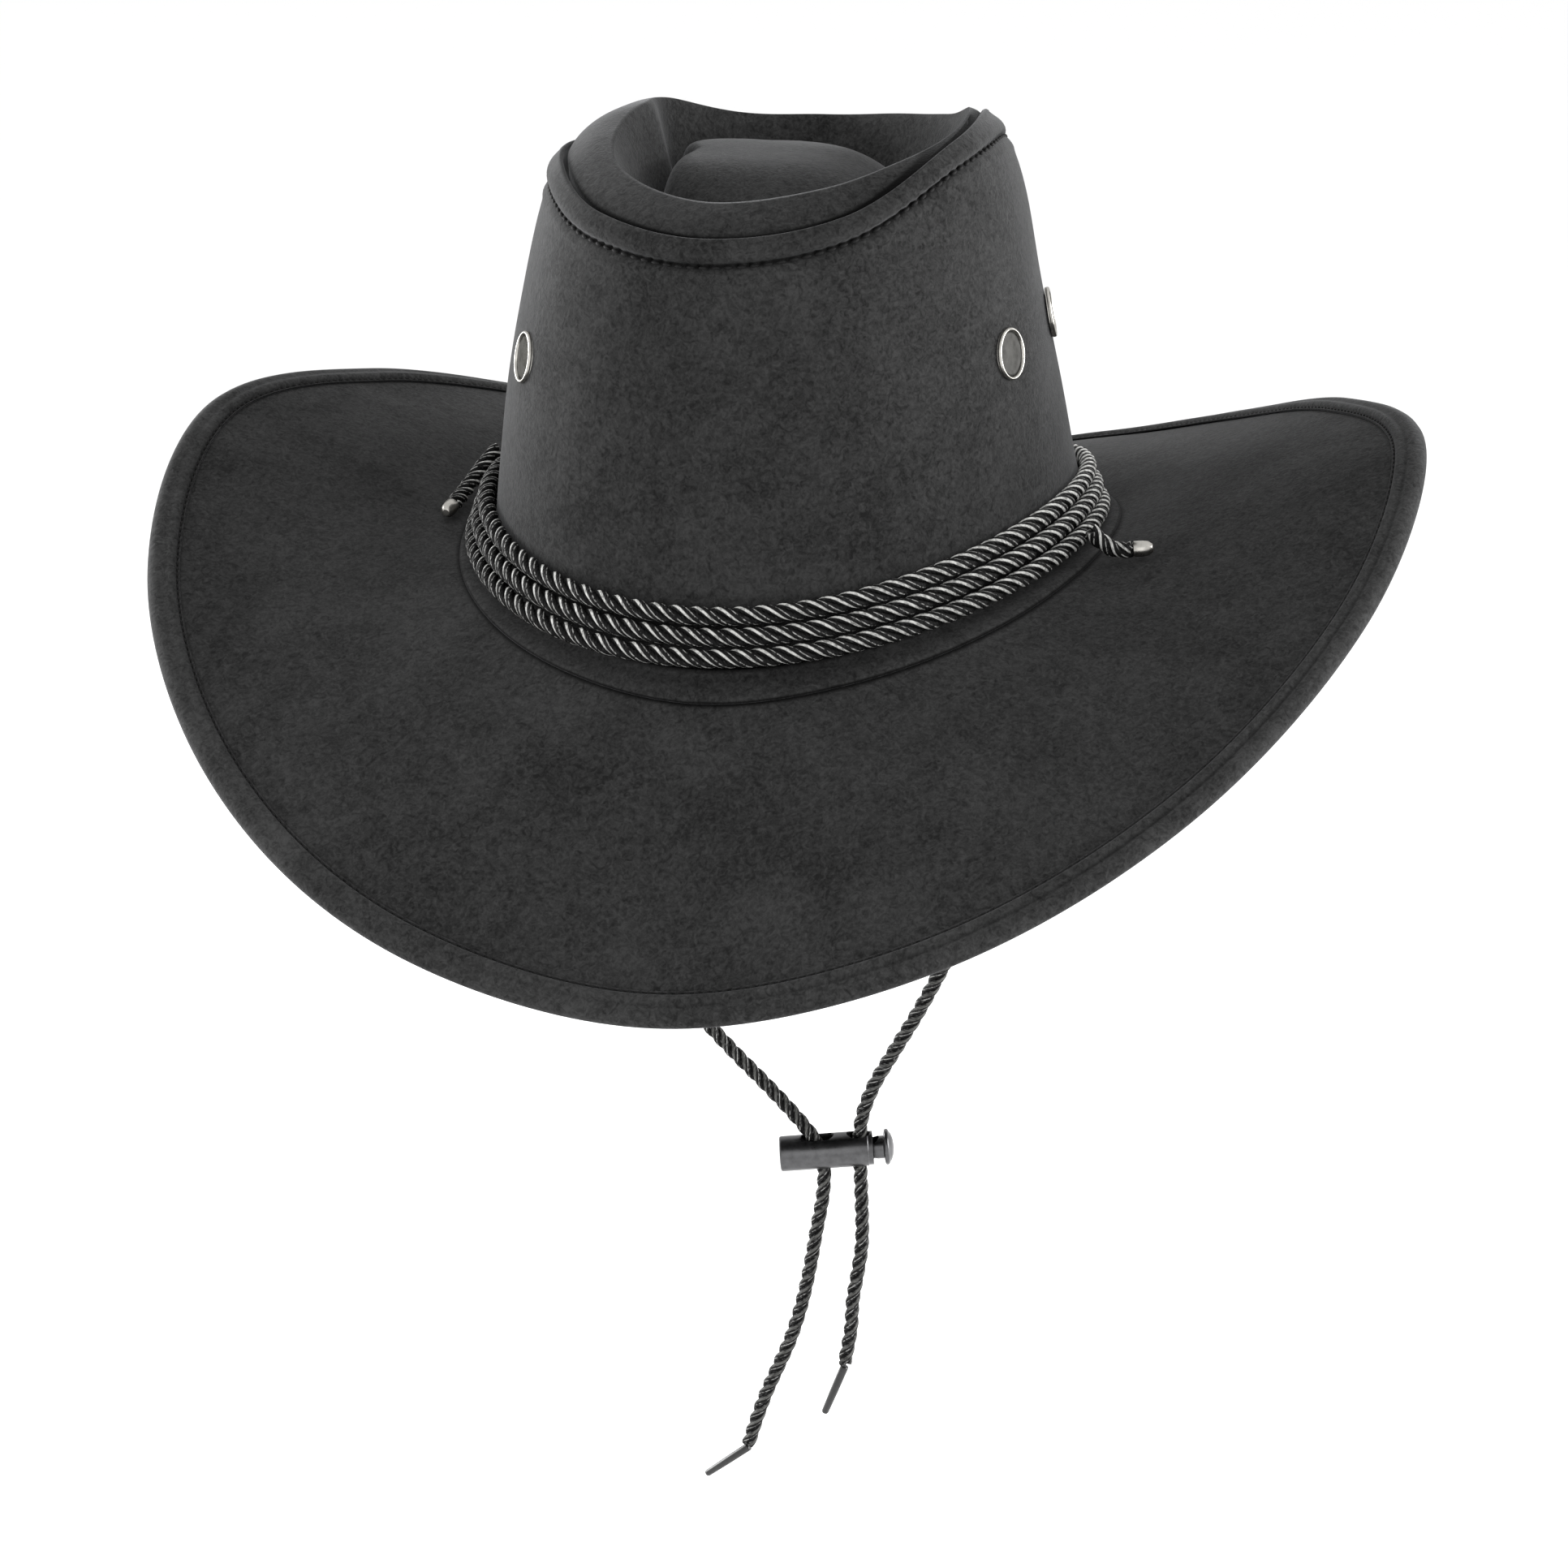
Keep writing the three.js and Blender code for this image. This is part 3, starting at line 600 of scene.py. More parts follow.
# Out along the underside, back along the upper face, and in under the base ring, with a painted
# shadow on the upper face next to the ring's edge and painted shade at the crown's foot.
shares = np.linspace(0, 1, 44)
brim_rings = [foot(brim_turn, -cloth, -cloth)]
brim_rings += [brim_ring(share, -cloth) for share in shares]
brim_rings += [brim_ring(share, 0) for share in shares[::-1] if share > 0.14]
brim_painted_shade = [0] * len(brim_rings)
for out in (0.0125, 0.0114, 0.0108, 0.0103, 0.0098, 0.006, 0.0001):
    brim_rings.append(brim_point(brim_turn, out))
    brim_painted_shade.append(0.85 * hump(max(0, out - ring_shade_from), 0.0007))
brim_rings += [foot(brim_turn, -cloth)]
brim_painted_shade.append(0.5)
brim = skin("brim_suede_sheet", brim_rings, brim_painted_shade)
brim.data.materials.append(brim_suede)
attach(brim, "hat")
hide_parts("brim")


# Bound edge.
# A strip of the same suede folded over a cord at the rim, and stitched through along its inner
# edge. It is coloured lighter than the brim, as painted light on the rolled edge.
hem_stitch_back = 0.0084
hem_padding_back = 4.8

# Distance back from the rim and height above the brim's upper face, in millimetres.
hem_section = (
    (9.2, 0.35), (9.15, 0.7), (8.95, 0.85), (8.7, 0.75), (8.4, 0.45), (8.15, 0.95), (7.8, 1.6), (7.2, 2.0),
    (6.4, 2.1), (5.6, 1.95), (4.8, 1.75), (4.0, 1.85), (3.0, 1.85), (2.0, 1.6), (1.1, 1.0), (0.4, 0.2),
    (0.05, -1.0), (0.2, -1.9), (0.6, -2.6), (1.3, -3.1), (2.4, -3.35), (4.0, -3.3), (6.0, -3.3),
    (7.8, -3.1), (8.4, -2.65), (9.0, -2.95), (9.2, -2.35), (6.0, -2.35), (1.55, -2.35), (1.55, 0.35),
    (6.0, 0.35),
)

# The padding inside the strip lies in a soft double roll, most of all to the front and right.
double_roll = hump(np.mod(brim_turn + 0.6, 2 * np.pi) - 1.5, 0.9)


def hem_ring(back, above):
    """A ring of the folded strip, in the section's millimetres."""
    height = np.full(brim_turns, above)
    if above > 0.4:
        height = height - 0.45 * double_roll * hump(back - hem_padding_back, 0.8)
        height = height + 0.1 * wave(foot(brim_turn, 0), 0.016, back) * (back < 8)
    return brim_point(brim_turn, -0.001 * back, 0.001 * height)


binding_rings = [hem_ring(back, above) for back, above in hem_section[::-1]]
# Painted shade on the upper face: at the inner edge, in the stitch groove and in the dip of the double roll.
hem_painted_shade = [
    (0.85 * hump(back - 8.4, 0.3) + 0.9 * (back > 9.1)
     + 0.5 * double_roll * hump(back - hem_padding_back, 0.5)) * (above > 0.3)
    for back, above in hem_section[::-1]
]
binding = skin("brim_binding_strip", binding_rings, hem_painted_shade)
# A lighter copy of the brim suede: painted light for the light the rolled edge catches.
lit_edge_suede = suede("lit_edge_suede", grey(0.014), grey(0.046), 0.12)
binding.data.materials.append(lit_edge_suede)
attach(binding, "hat")
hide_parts("brim_binding")

for side, above in (("upper", 0.0007), ("under", -0.0028)):
    hem_line = line_of("hem_line", brim_point(brim_turn, -hem_stitch_back, above), True)
    hem_stitches = grown(f"hem_stitches_{side}", hem_line, stitches_tree, {
        "Stitch pitch": 0.0025, "Stitch length": 0.0018, "Thread thickness": 0.0009,
        "Thread": black_thread})
    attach(hem_stitches, "hat")


# Base ring.
# A narrow suede ring sewn round the crown's foot, where the brim is let into the crown. Its inner
# edge turns up against the wall.
# Distance out from the crown's foot and height above the brim's upper face, in millimetres.
ring_section = (
    (0.45, 0.45), (0.4, 2.3), (0.8, 2.35), (1.5, 1.6), (3.0, 1.4), (5.0, 1.45), (7.5, 1.45), (8.8, 1.4),
    (9.5, 1.2), (9.9, 0.85), (10.0, 0.3), (6.0, 0.4),
)
# Painted shade at the ring's inner edge against the wall and at its outer edge.
base_ring = skin("base_ring_suede", [
    brim_point(brim_turn, 0.001 * out, 0.001 * above) for out, above in ring_section
], [0.6 * (out < 1) + 0.8 * (out > 9.8) for out, _ in ring_section])
base_ring.data.materials.append(brim_suede)
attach(base_ring, "hat")
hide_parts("base_ring")


# Twisted hat cord.
# Three turns of three-strand cord round the crown's foot. Each strand is black yarn with one
# edge of white thread.
hat_cord = 0.0052
hat_cord_saddle = 0.0076
hat_cord_level = 0.0162
hat_cord_lean = 0.002
hat_cord_lay = 0.0172
hat_cord_pitch = math.sqrt((hat_cord + gap) ** 2 - hat_cord_lean ** 2)


def twist_tree():
    """Strands laid round a line, as on a rope walk."""
    tree = bpy.data.node_groups.new("twisted_cord", "GeometryNodeTree")
    sockets = tree.interface
    sockets.new_socket("Geometry", in_out="INPUT", socket_type="NodeSocketGeometry")
    for name in ("Strands", "Strand sides"):
        sockets.new_socket(name, in_out="INPUT", socket_type="NodeSocketInt")
    for name in ("Cord diameter", "Strand diameter", "Lay", "Step"):
        sockets.new_socket(name, in_out="INPUT", socket_type="NodeSocketFloat")
    sockets.new_socket("Yarn", in_out="INPUT", socket_type="NodeSocketMaterial")
    sockets.new_socket("Geometry", in_out="OUTPUT", socket_type="NodeSocketGeometry")
    given = add(tree, "NodeGroupInput").outputs

    def value_of(operation, *values):
        return add(tree, "ShaderNodeMath", dict(enumerate(values)), operation=operation).outputs[0]

    def vector_of(operation, *values):
        node = add(tree, "ShaderNodeVectorMath", dict(enumerate(values)), operation=operation)
        return node.outputs["Vector"]

    def scaled(vector, factor):
        return add(tree, "ShaderNodeVectorMath", {"Vector": vector, "Scale": factor},
                   operation="SCALE").outputs["Vector"]

    def kept_on(geometry, *fields):
        """Holds each field's values on the points as they are at this step."""
        node = add(tree, "GeometryNodeCaptureAttribute", {"Geometry": geometry}, domain="POINT")
        for name, kind, field in fields:
            node.capture_items.new(kind, name)
            tree.links.new(field, node.inputs[name])
        return node

    even = add(tree, "GeometryNodeResampleCurve", {
        "Curve": given["Geometry"], "Length": given["Step"]}, mode="LENGTH")
    held = kept_on(
        even.outputs["Curve"],
        ("Along", "FLOAT", add(tree, "GeometryNodeSplineParameter").outputs["Length"]),
        ("Tangent", "VECTOR", add(tree, "GeometryNodeInputTangent").outputs["Tangent"]),
        ("Across", "VECTOR", add(tree, "GeometryNodeInputNormal").outputs["Normal"]))
    strands = add(tree, "GeometryNodeDuplicateElements", {
        "Geometry": held.outputs["Geometry"], "Amount": given["Strands"]}, domain="SPLINE")
    turns_along = value_of("DIVIDE", held.outputs["Along"], given["Lay"])
    own_start = value_of("DIVIDE", strands.outputs["Duplicate Index"], given["Strands"])
    angle = value_of("MULTIPLY", value_of("ADD", turns_along, own_start), 2 * math.pi)
    second = vector_of("CROSS_PRODUCT", held.outputs["Tangent"], held.outputs["Across"])
    away = vector_of(
        "ADD", scaled(held.outputs["Across"], value_of("COSINE", angle)),
        scaled(second, value_of("SINE", angle)))
    kept = kept_on(strands.outputs["Geometry"], ("Away", "VECTOR", away))
    radius = value_of("MULTIPLY", value_of(
        "SUBTRACT", given["Cord diameter"], given["Strand diameter"]), 0.5)
    laid = add(tree, "GeometryNodeSetPosition", {
        "Geometry": kept.outputs["Geometry"], "Offset": scaled(kept.outputs["Away"], radius)})
    faced = add(tree, "GeometryNodeSetCurveNormal", {
        "Curve": laid.outputs["Geometry"], "Normal": scaled(kept.outputs["Away"], -1.0)}, mode="FREE")
    section = add(tree, "GeometryNodeCurvePrimitiveCircle", {
        "Resolution": given["Strand sides"],
        "Radius": value_of("MULTIPLY", given["Strand diameter"], 0.5)})
    marked = kept_on(section.outputs["Curve"], (
        "Round", "FLOAT", add(tree, "GeometryNodeSplineParameter").outputs["Factor"]))
    body = add(tree, "GeometryNodeCurveToMesh", {
        "Curve": faced.outputs["Curve"], "Profile Curve": marked.outputs["Geometry"], "Fill Caps": True})
    unrolled = add(tree, "ShaderNodeCombineXYZ", {
        "X": held.outputs["Along"], "Y": marked.outputs["Round"]})
    mapped = add(tree, "GeometryNodeStoreNamedAttribute", {
        "Geometry": body.outputs["Mesh"], "Name": "UVMap", "Value": unrolled.outputs["Vector"]},
        data_type="FLOAT2", domain="CORNER")
    smooth = add(tree, "GeometryNodeSetShadeSmooth", {"Geometry": mapped.outputs["Geometry"]})
    real = add(tree, "GeometryNodeRealizeInstances", {"Geometry": smooth.outputs["Geometry"]})
    finished = add(tree, "GeometryNodeSetMaterial", {
        "Geometry": real.outputs["Geometry"], "Material": given["Yarn"]})
    add(tree, "NodeGroupOutput", {"Geometry": finished.outputs["Geometry"]})
    return tree


def stripe_of(tree, factor, start, end, soft):
    """A band from start to end, with soft edges inside it."""
    return ramp(tree, factor, (
        (start, grey(0)), (start + soft, grey(1)), (end - soft, grey(1)), (end, grey(0))))


def strand_yarn(name, black, fleck, fleck_share, stripe, stripe_from, stripe_to):
    """Spun yarn, mapped along and round each strand, with flecks, one fine line of pale thread
    and one broad stripe."""
    material = bpy.data.materials.new(name)
    tree = nodes_of(material)
    mapped = add(tree, "ShaderNodeTexCoord").outputs["UV"]
    parts = add(tree, "ShaderNodeSeparateXYZ", {"Vector": mapped})
    slant = add(tree, "ShaderNodeVectorMath", {0: mapped, 1: (5200, -38, 0)}, operation="DOT_PRODUCT")
    threads = add(tree, "ShaderNodeMath", {0: slant.outputs["Value"]}, operation="SINE")
    stretched = add(tree, "ShaderNodeMapping", {"Vector": mapped, "Scale": (1100, 11, 1)})
    coarse = add(tree, "ShaderNodeTexNoise", {
        "Vector": stretched.outputs["Vector"], "Scale": 0.7, "Detail": 3, "Roughness": 0.7})
    flecked = ramp(tree, coarse.outputs["Fac"], (
        (0.60 - fleck_share, black), (0.70 - fleck_share * 0.6, fleck)))
    line = stripe_of(tree, parts.outputs["Y"], 0.385, 0.44, 0.015)
    frayed = ramp(tree, coarse.outputs["Fac"], ((0.44, grey(0)), (0.54, grey(1))))
    speckled = add(tree, "ShaderNodeMath", {0: line, 1: frayed}, operation="MULTIPLY")
    lined = add(tree, "ShaderNodeMix", {
        "Factor": speckled.outputs["Value"], "A": flecked, "B": (0.34, 0.34, 0.33, 1)}, data_type="RGBA")
    band = stripe_of(tree, parts.outputs["Y"], stripe_from - 0.015, stripe_to + 0.015, 0.03)
    pale = ramp(tree, coarse.outputs["Fac"], ((0.36, [0.3 * c for c in stripe]), (0.54, stripe)))
    striped = add(tree, "ShaderNodeMix", {
        "Factor": band, "A": lined.outputs["Result"], "B": pale}, data_type="RGBA")
    relief = add(tree, "ShaderNodeBump", {
        "Height": threads.outputs["Value"], "Strength": 0.45, "Distance": 0.00012})
    shader = add(tree, "ShaderNodeBsdfPrincipled", {
        "Base Color": striped.outputs["Result"], "Roughness": 0.65, "Specular IOR Level": 0.14,
        "Normal": relief.outputs["Normal"]})
    add(tree, "ShaderNodeOutputMaterial", {"Surface": shader.outputs["BSDF"]})
    return material


cord_tree = twist_tree()
striped_yarn = strand_yarn(
    "striped_yarn", grey(0.004), grey(0.03), 0.04, stripe=(0.6, 0.6, 0.58), stripe_from=0.57, stripe_to=0.665)


def hat_cord_line(index):
    """The middle of one turn, counted from the top. It starts at the back."""
    start_behind = np.linspace(np.pi, 3 * np.pi, 241)[:-1]
    level = hat_cord_level - hat_cord_pitch * index
    wall = wall_point(start_behind, hat_cord_level / (crown_height + base_saddle)) - foot(start_behind, 0)
    out = (wall * outward(start_behind)).sum(-1) + hat_cord / 2 + gap + hat_cord_lean * index
    rise = level + (base_saddle - hat_cord_saddle) * np.cos(2 * start_behind)
    return foot(start_behind, out, rise)


def line_length(points, closed=False):
    points = np.asarray(points, float)
    ends = np.roll(points, -1, axis=0) if closed else points[1:]
    return np.linalg.norm(ends - (points if closed else points[:-1]), axis=-1).sum()


for index, name in enumerate(("upper", "middle", "lower")):
    points = hat_cord_line(index)
    whole = line_length(points, True)
    band = grown(f"hat_cord_{name}_twist", line_of("hat_cord_line", points, True), cord_tree, {
        "Strands": 3, "Strand sides": 12, "Cord diameter": hat_cord, "Strand diameter": 0.00255,
        "Lay": whole / round(whole / hat_cord_lay), "Step": 0.0009, "Yarn": striped_yarn})
    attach(band, "hat")
    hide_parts(f"hat_cord_{name}")


# Ends of the hat cord.
# The two tails of the cord come out of the turns at the sides, and each is closed by a small
# folded metal cap.
hat_cord_end = 0.0048
cap_diameter = 0.0044
cap_length = 0.0055

# Degrees from the front, distance out from the crown's foot and height above the brim's upper
# face, in millimetres.
hat_end_rows = {
    "right": (
        (-97.2, 15.1, 12.7), (-94.3, 15.3, 9.7), (-91, 15.6, 6.2), (-87.4, 15.9, 3.8), (-83.4, 16.2, 3.1),
    ),
    "left": ((74.3, 12, 10.5), (75, 14.7, 6.8), (75.8, 17.9, 4), (76.5, 21.9, 3.5)),
}


def smooth_route(points, steps=12):
    """Points in millimetres, joined by one smooth curve in metres."""
    given = [np.array(p, float) / 1000 for p in points]
    given = [2 * given[0] - given[1], *given, 2 * given[-1] - given[-2]]
    curve = []
    for a, b, c, d in zip(given, given[1:], given[2:], given[3:]):
        times = [0.0]
        for start, end in ((a, b), (b, c), (c, d)):
            times.append(times[-1] + max(np.linalg.norm(end - start), 1e-6) ** 0.5)
        t0, t1, t2, t3 = times
        for k in range(steps):
            t = t1 + (t2 - t1) * k / steps
            ab = a + (b - a) * (t - t0) / (t1 - t0)
            bc = b + (c - b) * (t - t1) / (t2 - t1)
            cd = c + (d - c) * (t - t2) / (t3 - t2)
            abc = ab + (bc - ab) * (t - t0) / (t2 - t0)
            bcd = bc + (cd - bc) * (t - t1) / (t3 - t1)
            curve.append(abc + (bcd - abc) * (t - t1) / (t2 - t1))
    curve.append(given[-2])
    return np.array(curve)


def turned(name, profile, start, direction, segments=48):
    """A turned piece: radius and height pairs spun round an axis from a start point."""
    axis = Vector(direction).normalized()
    spin = axis.to_track_quat("Z", "Y").to_matrix()
    rings = []
    for radius, height in profile:
        ring = []
        count = 1 if radius == 0 else segments
        for k in range(count):
            angle = 2 * math.pi * k / segments
            local = Vector((radius * math.cos(angle), radius * math.sin(angle), height))
            ring.append(np.array(Vector(start) + spin @ local))
        rings.append(ring)
    return skin(name, rings)


def metal(name, colour, roughness, worn, edge=1.0):
    """Plated metal. worn is how dull its marks are, and edge how brightly it shines aslant."""
    material = bpy.data.materials.new(name)
    tree = nodes_of(material)
    place = add(tree, "ShaderNodeTexCoord").outputs["Object"]
    marks = add(tree, "ShaderNodeTexNoise", {
        "Vector": place, "Scale": 420, "Detail": 6, "Roughness": 0.6})
    tint = ramp(tree, marks.outputs["Fac"], (
        (0.35, [c * worn for c in colour]), (0.65, colour)))
    gloss = add(tree, "ShaderNodeMapRange", {
        "Value": marks.outputs["Fac"], "To Min": roughness * 0.7, "To Max": roughness * 1.5})
    shader = add(tree, "ShaderNodeBsdfPrincipled", {
        "Base Color": tint, "Metallic": 1.0, "Roughness": gloss.outputs["Result"],
        "Specular Tint": (edge, edge, edge, 1)})
    add(tree, "ShaderNodeOutputMaterial", {"Surface": shader.outputs["BSDF"]})
    return material


polished_nickel = metal("polished_nickel", (0.52, 0.505, 0.47), 0.28, 0.72, 0.7)
for side, rows in hat_end_rows.items():
    path = smooth_route([
        1000 * brim_point(np.array([math.radians(degrees)]), 0.001 * out, 0.001 * above)[0]
        for degrees, out, above in rows])
    tail = grown(f"hat_cord_end_{side}_twist", line_of("tail_line", path, False), cord_tree, {
        "Strands": 3, "Strand sides": 12, "Cord diameter": hat_cord_end, "Strand diameter": 0.0025,
        "Lay": 0.0135, "Step": 0.0006, "Yarn": striped_yarn})
    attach(tail, "hat")
    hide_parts(f"hat_cord_end_{side}")
    heading = path[-1] - path[-2]
    heading = heading / np.linalg.norm(heading)
    radius = cap_diameter / 2
    cap = turned(f"hat_cord_cap_{side}_fold", (
        (0, 0), (radius * 0.9, 0), (radius, 0.0003), (radius, cap_length * 0.5),
        (radius * 0.9, cap_length * 0.75), (radius * 0.55, cap_length * 0.97), (radius * 0.4, cap_length),
        (0, cap_length * 0.9),
    ), path[-1] + heading * gap, heading, 24)
    cap.data.materials.append(polished_nickel)
    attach(cap, "hat")
    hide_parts(f"hat_cord_cap_{side}")


# Rivets.
# Four vent rivets pressed through the crown wall, two at each side. Each has a bright rolled rim
# round a dull, plain face.
rivet_radius = 0.0071
rivet_height = 0.0011
rivet_rim = 0.0008

# Degrees from the front towards the wearer's left side, and the share of the wall's height.
rivet_places = (
    ("front_left", 67, 0.51), ("back_left", 97, 0.525),
    ("front_right", -50, 0.58), ("back_right", -92, 0.57),
)
dull_nickel = metal("dull_nickel", (0.07, 0.069, 0.066), 0.5, 0.6, 0.3)
rim_curl = rivet_rim * 0.62
rim_profile = [
    (rivet_radius - rivet_rim * 1.2, 0.0), (rivet_radius - 0.0003, -0.0003), (rivet_radius, -0.0001),
]
rim_profile += [
    (rivet_radius - rim_curl + rim_curl * math.cos(a), rivet_height * (0.42 + 0.58 * math.sin(a)))
    for a in np.linspace(-0.8, math.pi, 12)
]
rim_profile += [(rivet_radius - rivet_rim * 1.3, rivet_height * 0.3)]
face_radius = rivet_radius - rivet_rim * 1.15
face_profile = (
    (0, 0.0001), (face_radius, 0.0001), (face_radius, rivet_height * 0.35),
    (face_radius * 0.86, rivet_height * 0.5), (face_radius * 0.8, rivet_height * 0.44),
    (face_radius * 0.5, rivet_height * 0.6), (0, rivet_height * 0.66),
)
for name, degrees, share in rivet_places:
    at = math.radians(degrees)
    step = 0.01
    along = wall_point(at + step, share) - wall_point(at - step, share)
    across = wall_point(at, share + step) - wall_point(at, share - step)
    normal = np.cross(along, across)
    normal = normal / np.linalg.norm(normal)
    if normal @ outward(at) < 0:
        normal = -normal
    sag = rivet_radius ** 2 / base_width
    start = wall_point(at, share) + normal * (gap - 0.5 * sag)
    rim = turned(f"rivet_rim_{name}", rim_profile, start, normal)
    rim.data.materials.append(polished_nickel)
    face = turned(f"rivet_face_{name}", face_profile, start, normal)
    face.data.materials.append(dull_nickel)
    for piece in (rim, face):
        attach(piece, "hat")
        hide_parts(f"rivet_{name}")


# Chin cord.
# One black cord of three strands. Its hidden stretch lies round the inside of the crown at the
# back, and its two ends come down through the toggle.
chin_cord = 0.0044
chin_cord_rise = 0.012
chin_cord_clear = 0.0008
chin_cord_lay = 0.0138

# Where each end of the cord hangs, from the crown's foot to its tip, in millimetres.
chin_routes = {
    "right": (
        (-78.9, 0, 3.5), (-78.9, 0, -5), (-78.4, 0, -24), (-75.6, 0, -45), (-70.6, 0, -68),
        (-63.4, 0, -90), (-54, 0, -112), (-43, 0, -132), (-32, 0, -147.5), (-22, 0, -158.5),
        (-13.5, 0, -167), (-6, -0.5, -174.5), (0, -0.8, -181.2), (2.6, -0.7, -185), (4.2, -0.5, -189),
        (5.1, -0.2, -194.5), (4.6, 0, -203), (2.2, 0, -216), (-0.4, 0, -230), (-3.2, 0, -242),
        (-7, 0, -254), (-11.2, 0, -264), (-15, 0, -273), (-18.2, 0, -282), (-21.2, 0, -291.5),
    ),
    "left": (
        (78.9, 0, 3.5), (78.9, 0, -5), (77.6, 0.2, -24), (74, 0.4, -45), (68.4, 0.6, -66),
        (61, 0.8, -86), (52.4, 1, -106), (42.6, 1.3, -126), (34.4, 1.6, -142), (27, 2, -155),
        (20.2, 2.4, -167.5), (16.6, 2.5, -178), (15.7, 2.5, -188), (16, 2.4, -198), (16.4, 1.4, -207),
        (16.4, 0.6, -219), (15, 0, -229), (13.4, 0, -238), (12.6, 0, -248), (10.4, 0, -260),
    ),
}
black_yarn = strand_yarn(
    "black_yarn", grey(0.005), grey(0.12), 0.04, stripe=(0.11, 0.11, 0.105),
    stripe_from=0.535, stripe_to=0.66)
chin_twist = {
    "Strands": 3, "Strand sides": 12, "Cord diameter": chin_cord + 0.0001, "Strand diameter": 0.0023,
    "Lay": chin_cord_lay, "Step": 0.0005, "Yarn": black_yarn}


def inside_point(degrees, rise):
    """A point for the cord against the wall's inner face, in millimetres."""
    at = math.radians(degrees)
    share = rise / (crown_height + (base_width + base_length) / 40)
    point = wall_point(at, share, -cloth - chin_cord_clear - chin_cord / 2)
    point[2] = foot(at, 0)[2] + rise
    return point * 1000


def raised(point, height):
    return (point[0], point[1], point[2] + height * 1000)


back_route = [
    raised(chin_routes["left"][0], gap),
    raised(chin_routes["left"][0], chin_cord),
    inside_point(92, chin_cord_rise * 0.5),
    inside_point(98, chin_cord_rise * 0.9),
    *[inside_point(at, chin_cord_rise) for at in (108, 120, 135, 150, 165, 180, 195, 210, 225, 240, 252)],
    inside_point(262, chin_cord_rise * 0.9),
    inside_point(268, chin_cord_rise * 0.5),
    raised(chin_routes["right"][0], chin_cord),
    raised(chin_routes["right"][0], gap),
]
back_cord = grown("chin_cord_back_twist", line_of("back_line", smooth_route(back_route), False),
                  cord_tree, chin_twist)
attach(back_cord, "hat")
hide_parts("chin_cord_back")

chin_pieces = {}
chin_paths = {}
for side, route in chin_routes.items():
    chin_paths[side] = smooth_route(route)
    chin_pieces[side] = grown(
        f"chin_cord_{side}_twist", line_of("chin_line", chin_paths[side], False), cord_tree, chin_twist)
    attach(chin_pieces[side], "hat")
    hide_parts(f"chin_cord_{side}")


# Aglets.
# Each free end of the cord is bound in a short, smooth tip of black plastic, so that it threads
# through the toggle and doesn't fray.
aglet_radius = 0.0013
aglet_length = 0.018
aglet_headings = {"right": (-1, 0, -0.8), "left": (-0.4, 0, -1)}
black_tip = bpy.data.materials.new("black_tip")
tip_tree = nodes_of(black_tip)
tip_marks = add(tip_tree, "ShaderNodeTexNoise", {
    "Vector": add(tip_tree, "ShaderNodeTexCoord").outputs["Object"], "Scale": 900, "Detail": 3})
tip_gloss = add(tip_tree, "ShaderNodeMapRange", {
    "Value": tip_marks.outputs["Fac"], "To Min": 0.22, "To Max": 0.5})
tip_colour = ramp(tip_tree, tip_marks.outputs["Fac"], ((0.3, grey(0.008)), (0.7, grey(0.02))))
tip_shader = add(tip_tree, "ShaderNodeBsdfPrincipled", {
    "Base Color": tip_colour, "Roughness": tip_gloss.outputs["Result"]})
add(tip_tree, "ShaderNodeOutputMaterial", {"Surface": tip_shader.outputs["BSDF"]})

aglets = {}
for side, heading in aglet_headings.items():
    seat = (chin_cord / 2 - aglet_radius) + gap
    start = chin_paths[side][-1] + np.array((0, 0, -seat))
    aglets[side] = turned(f"aglet_{side}_tip", (
        (0, 0), (aglet_radius * 0.92, 0), (aglet_radius, 0.0004), (aglet_radius * 0.97, aglet_length * 0.5),
        (aglet_radius * 0.84, aglet_length * 0.97), (aglet_radius * 0.7, aglet_length), (0, aglet_length),
    ), start, heading, 32)
    aglets[side].data.materials.append(black_tip)
    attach(aglets[side], "hat")
    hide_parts(f"aglet_{side}")


# Toggle.
# A black nickel barrel with two cross holes for the cord, and a sprung plunger with a domed
# button. The barrel's far end is closed.
toggle_centre = Vector((0.006, 0, -0.1885))
toggle_turn = math.radians(14)
toggle_tilt = math.radians(3)
toggle_length = 0.0285
toggle_radius = 0.0054
toggle_bore = 0.0038
toggle_end_wall = 0.0013
hole_width = 0.0054
hole_places = ((-0.0024, 0.010), (0.010, 0.0072))
plunger_radius = 0.0035
plunger_travel = 0.003
plunger_tip = 0.0022
slot_clearance = 0.0004
button_radius = 0.0055
button_thickness = 0.003
black_nickel = metal("black_nickel", (0.11, 0.11, 0.113), 0.28, 0.75)
toggle_place = Matrix.Translation(toggle_centre) @ Matrix.Rotation(toggle_turn, 4, "Z") @ Matrix.Rotation(
    -toggle_tilt, 4, "Y")


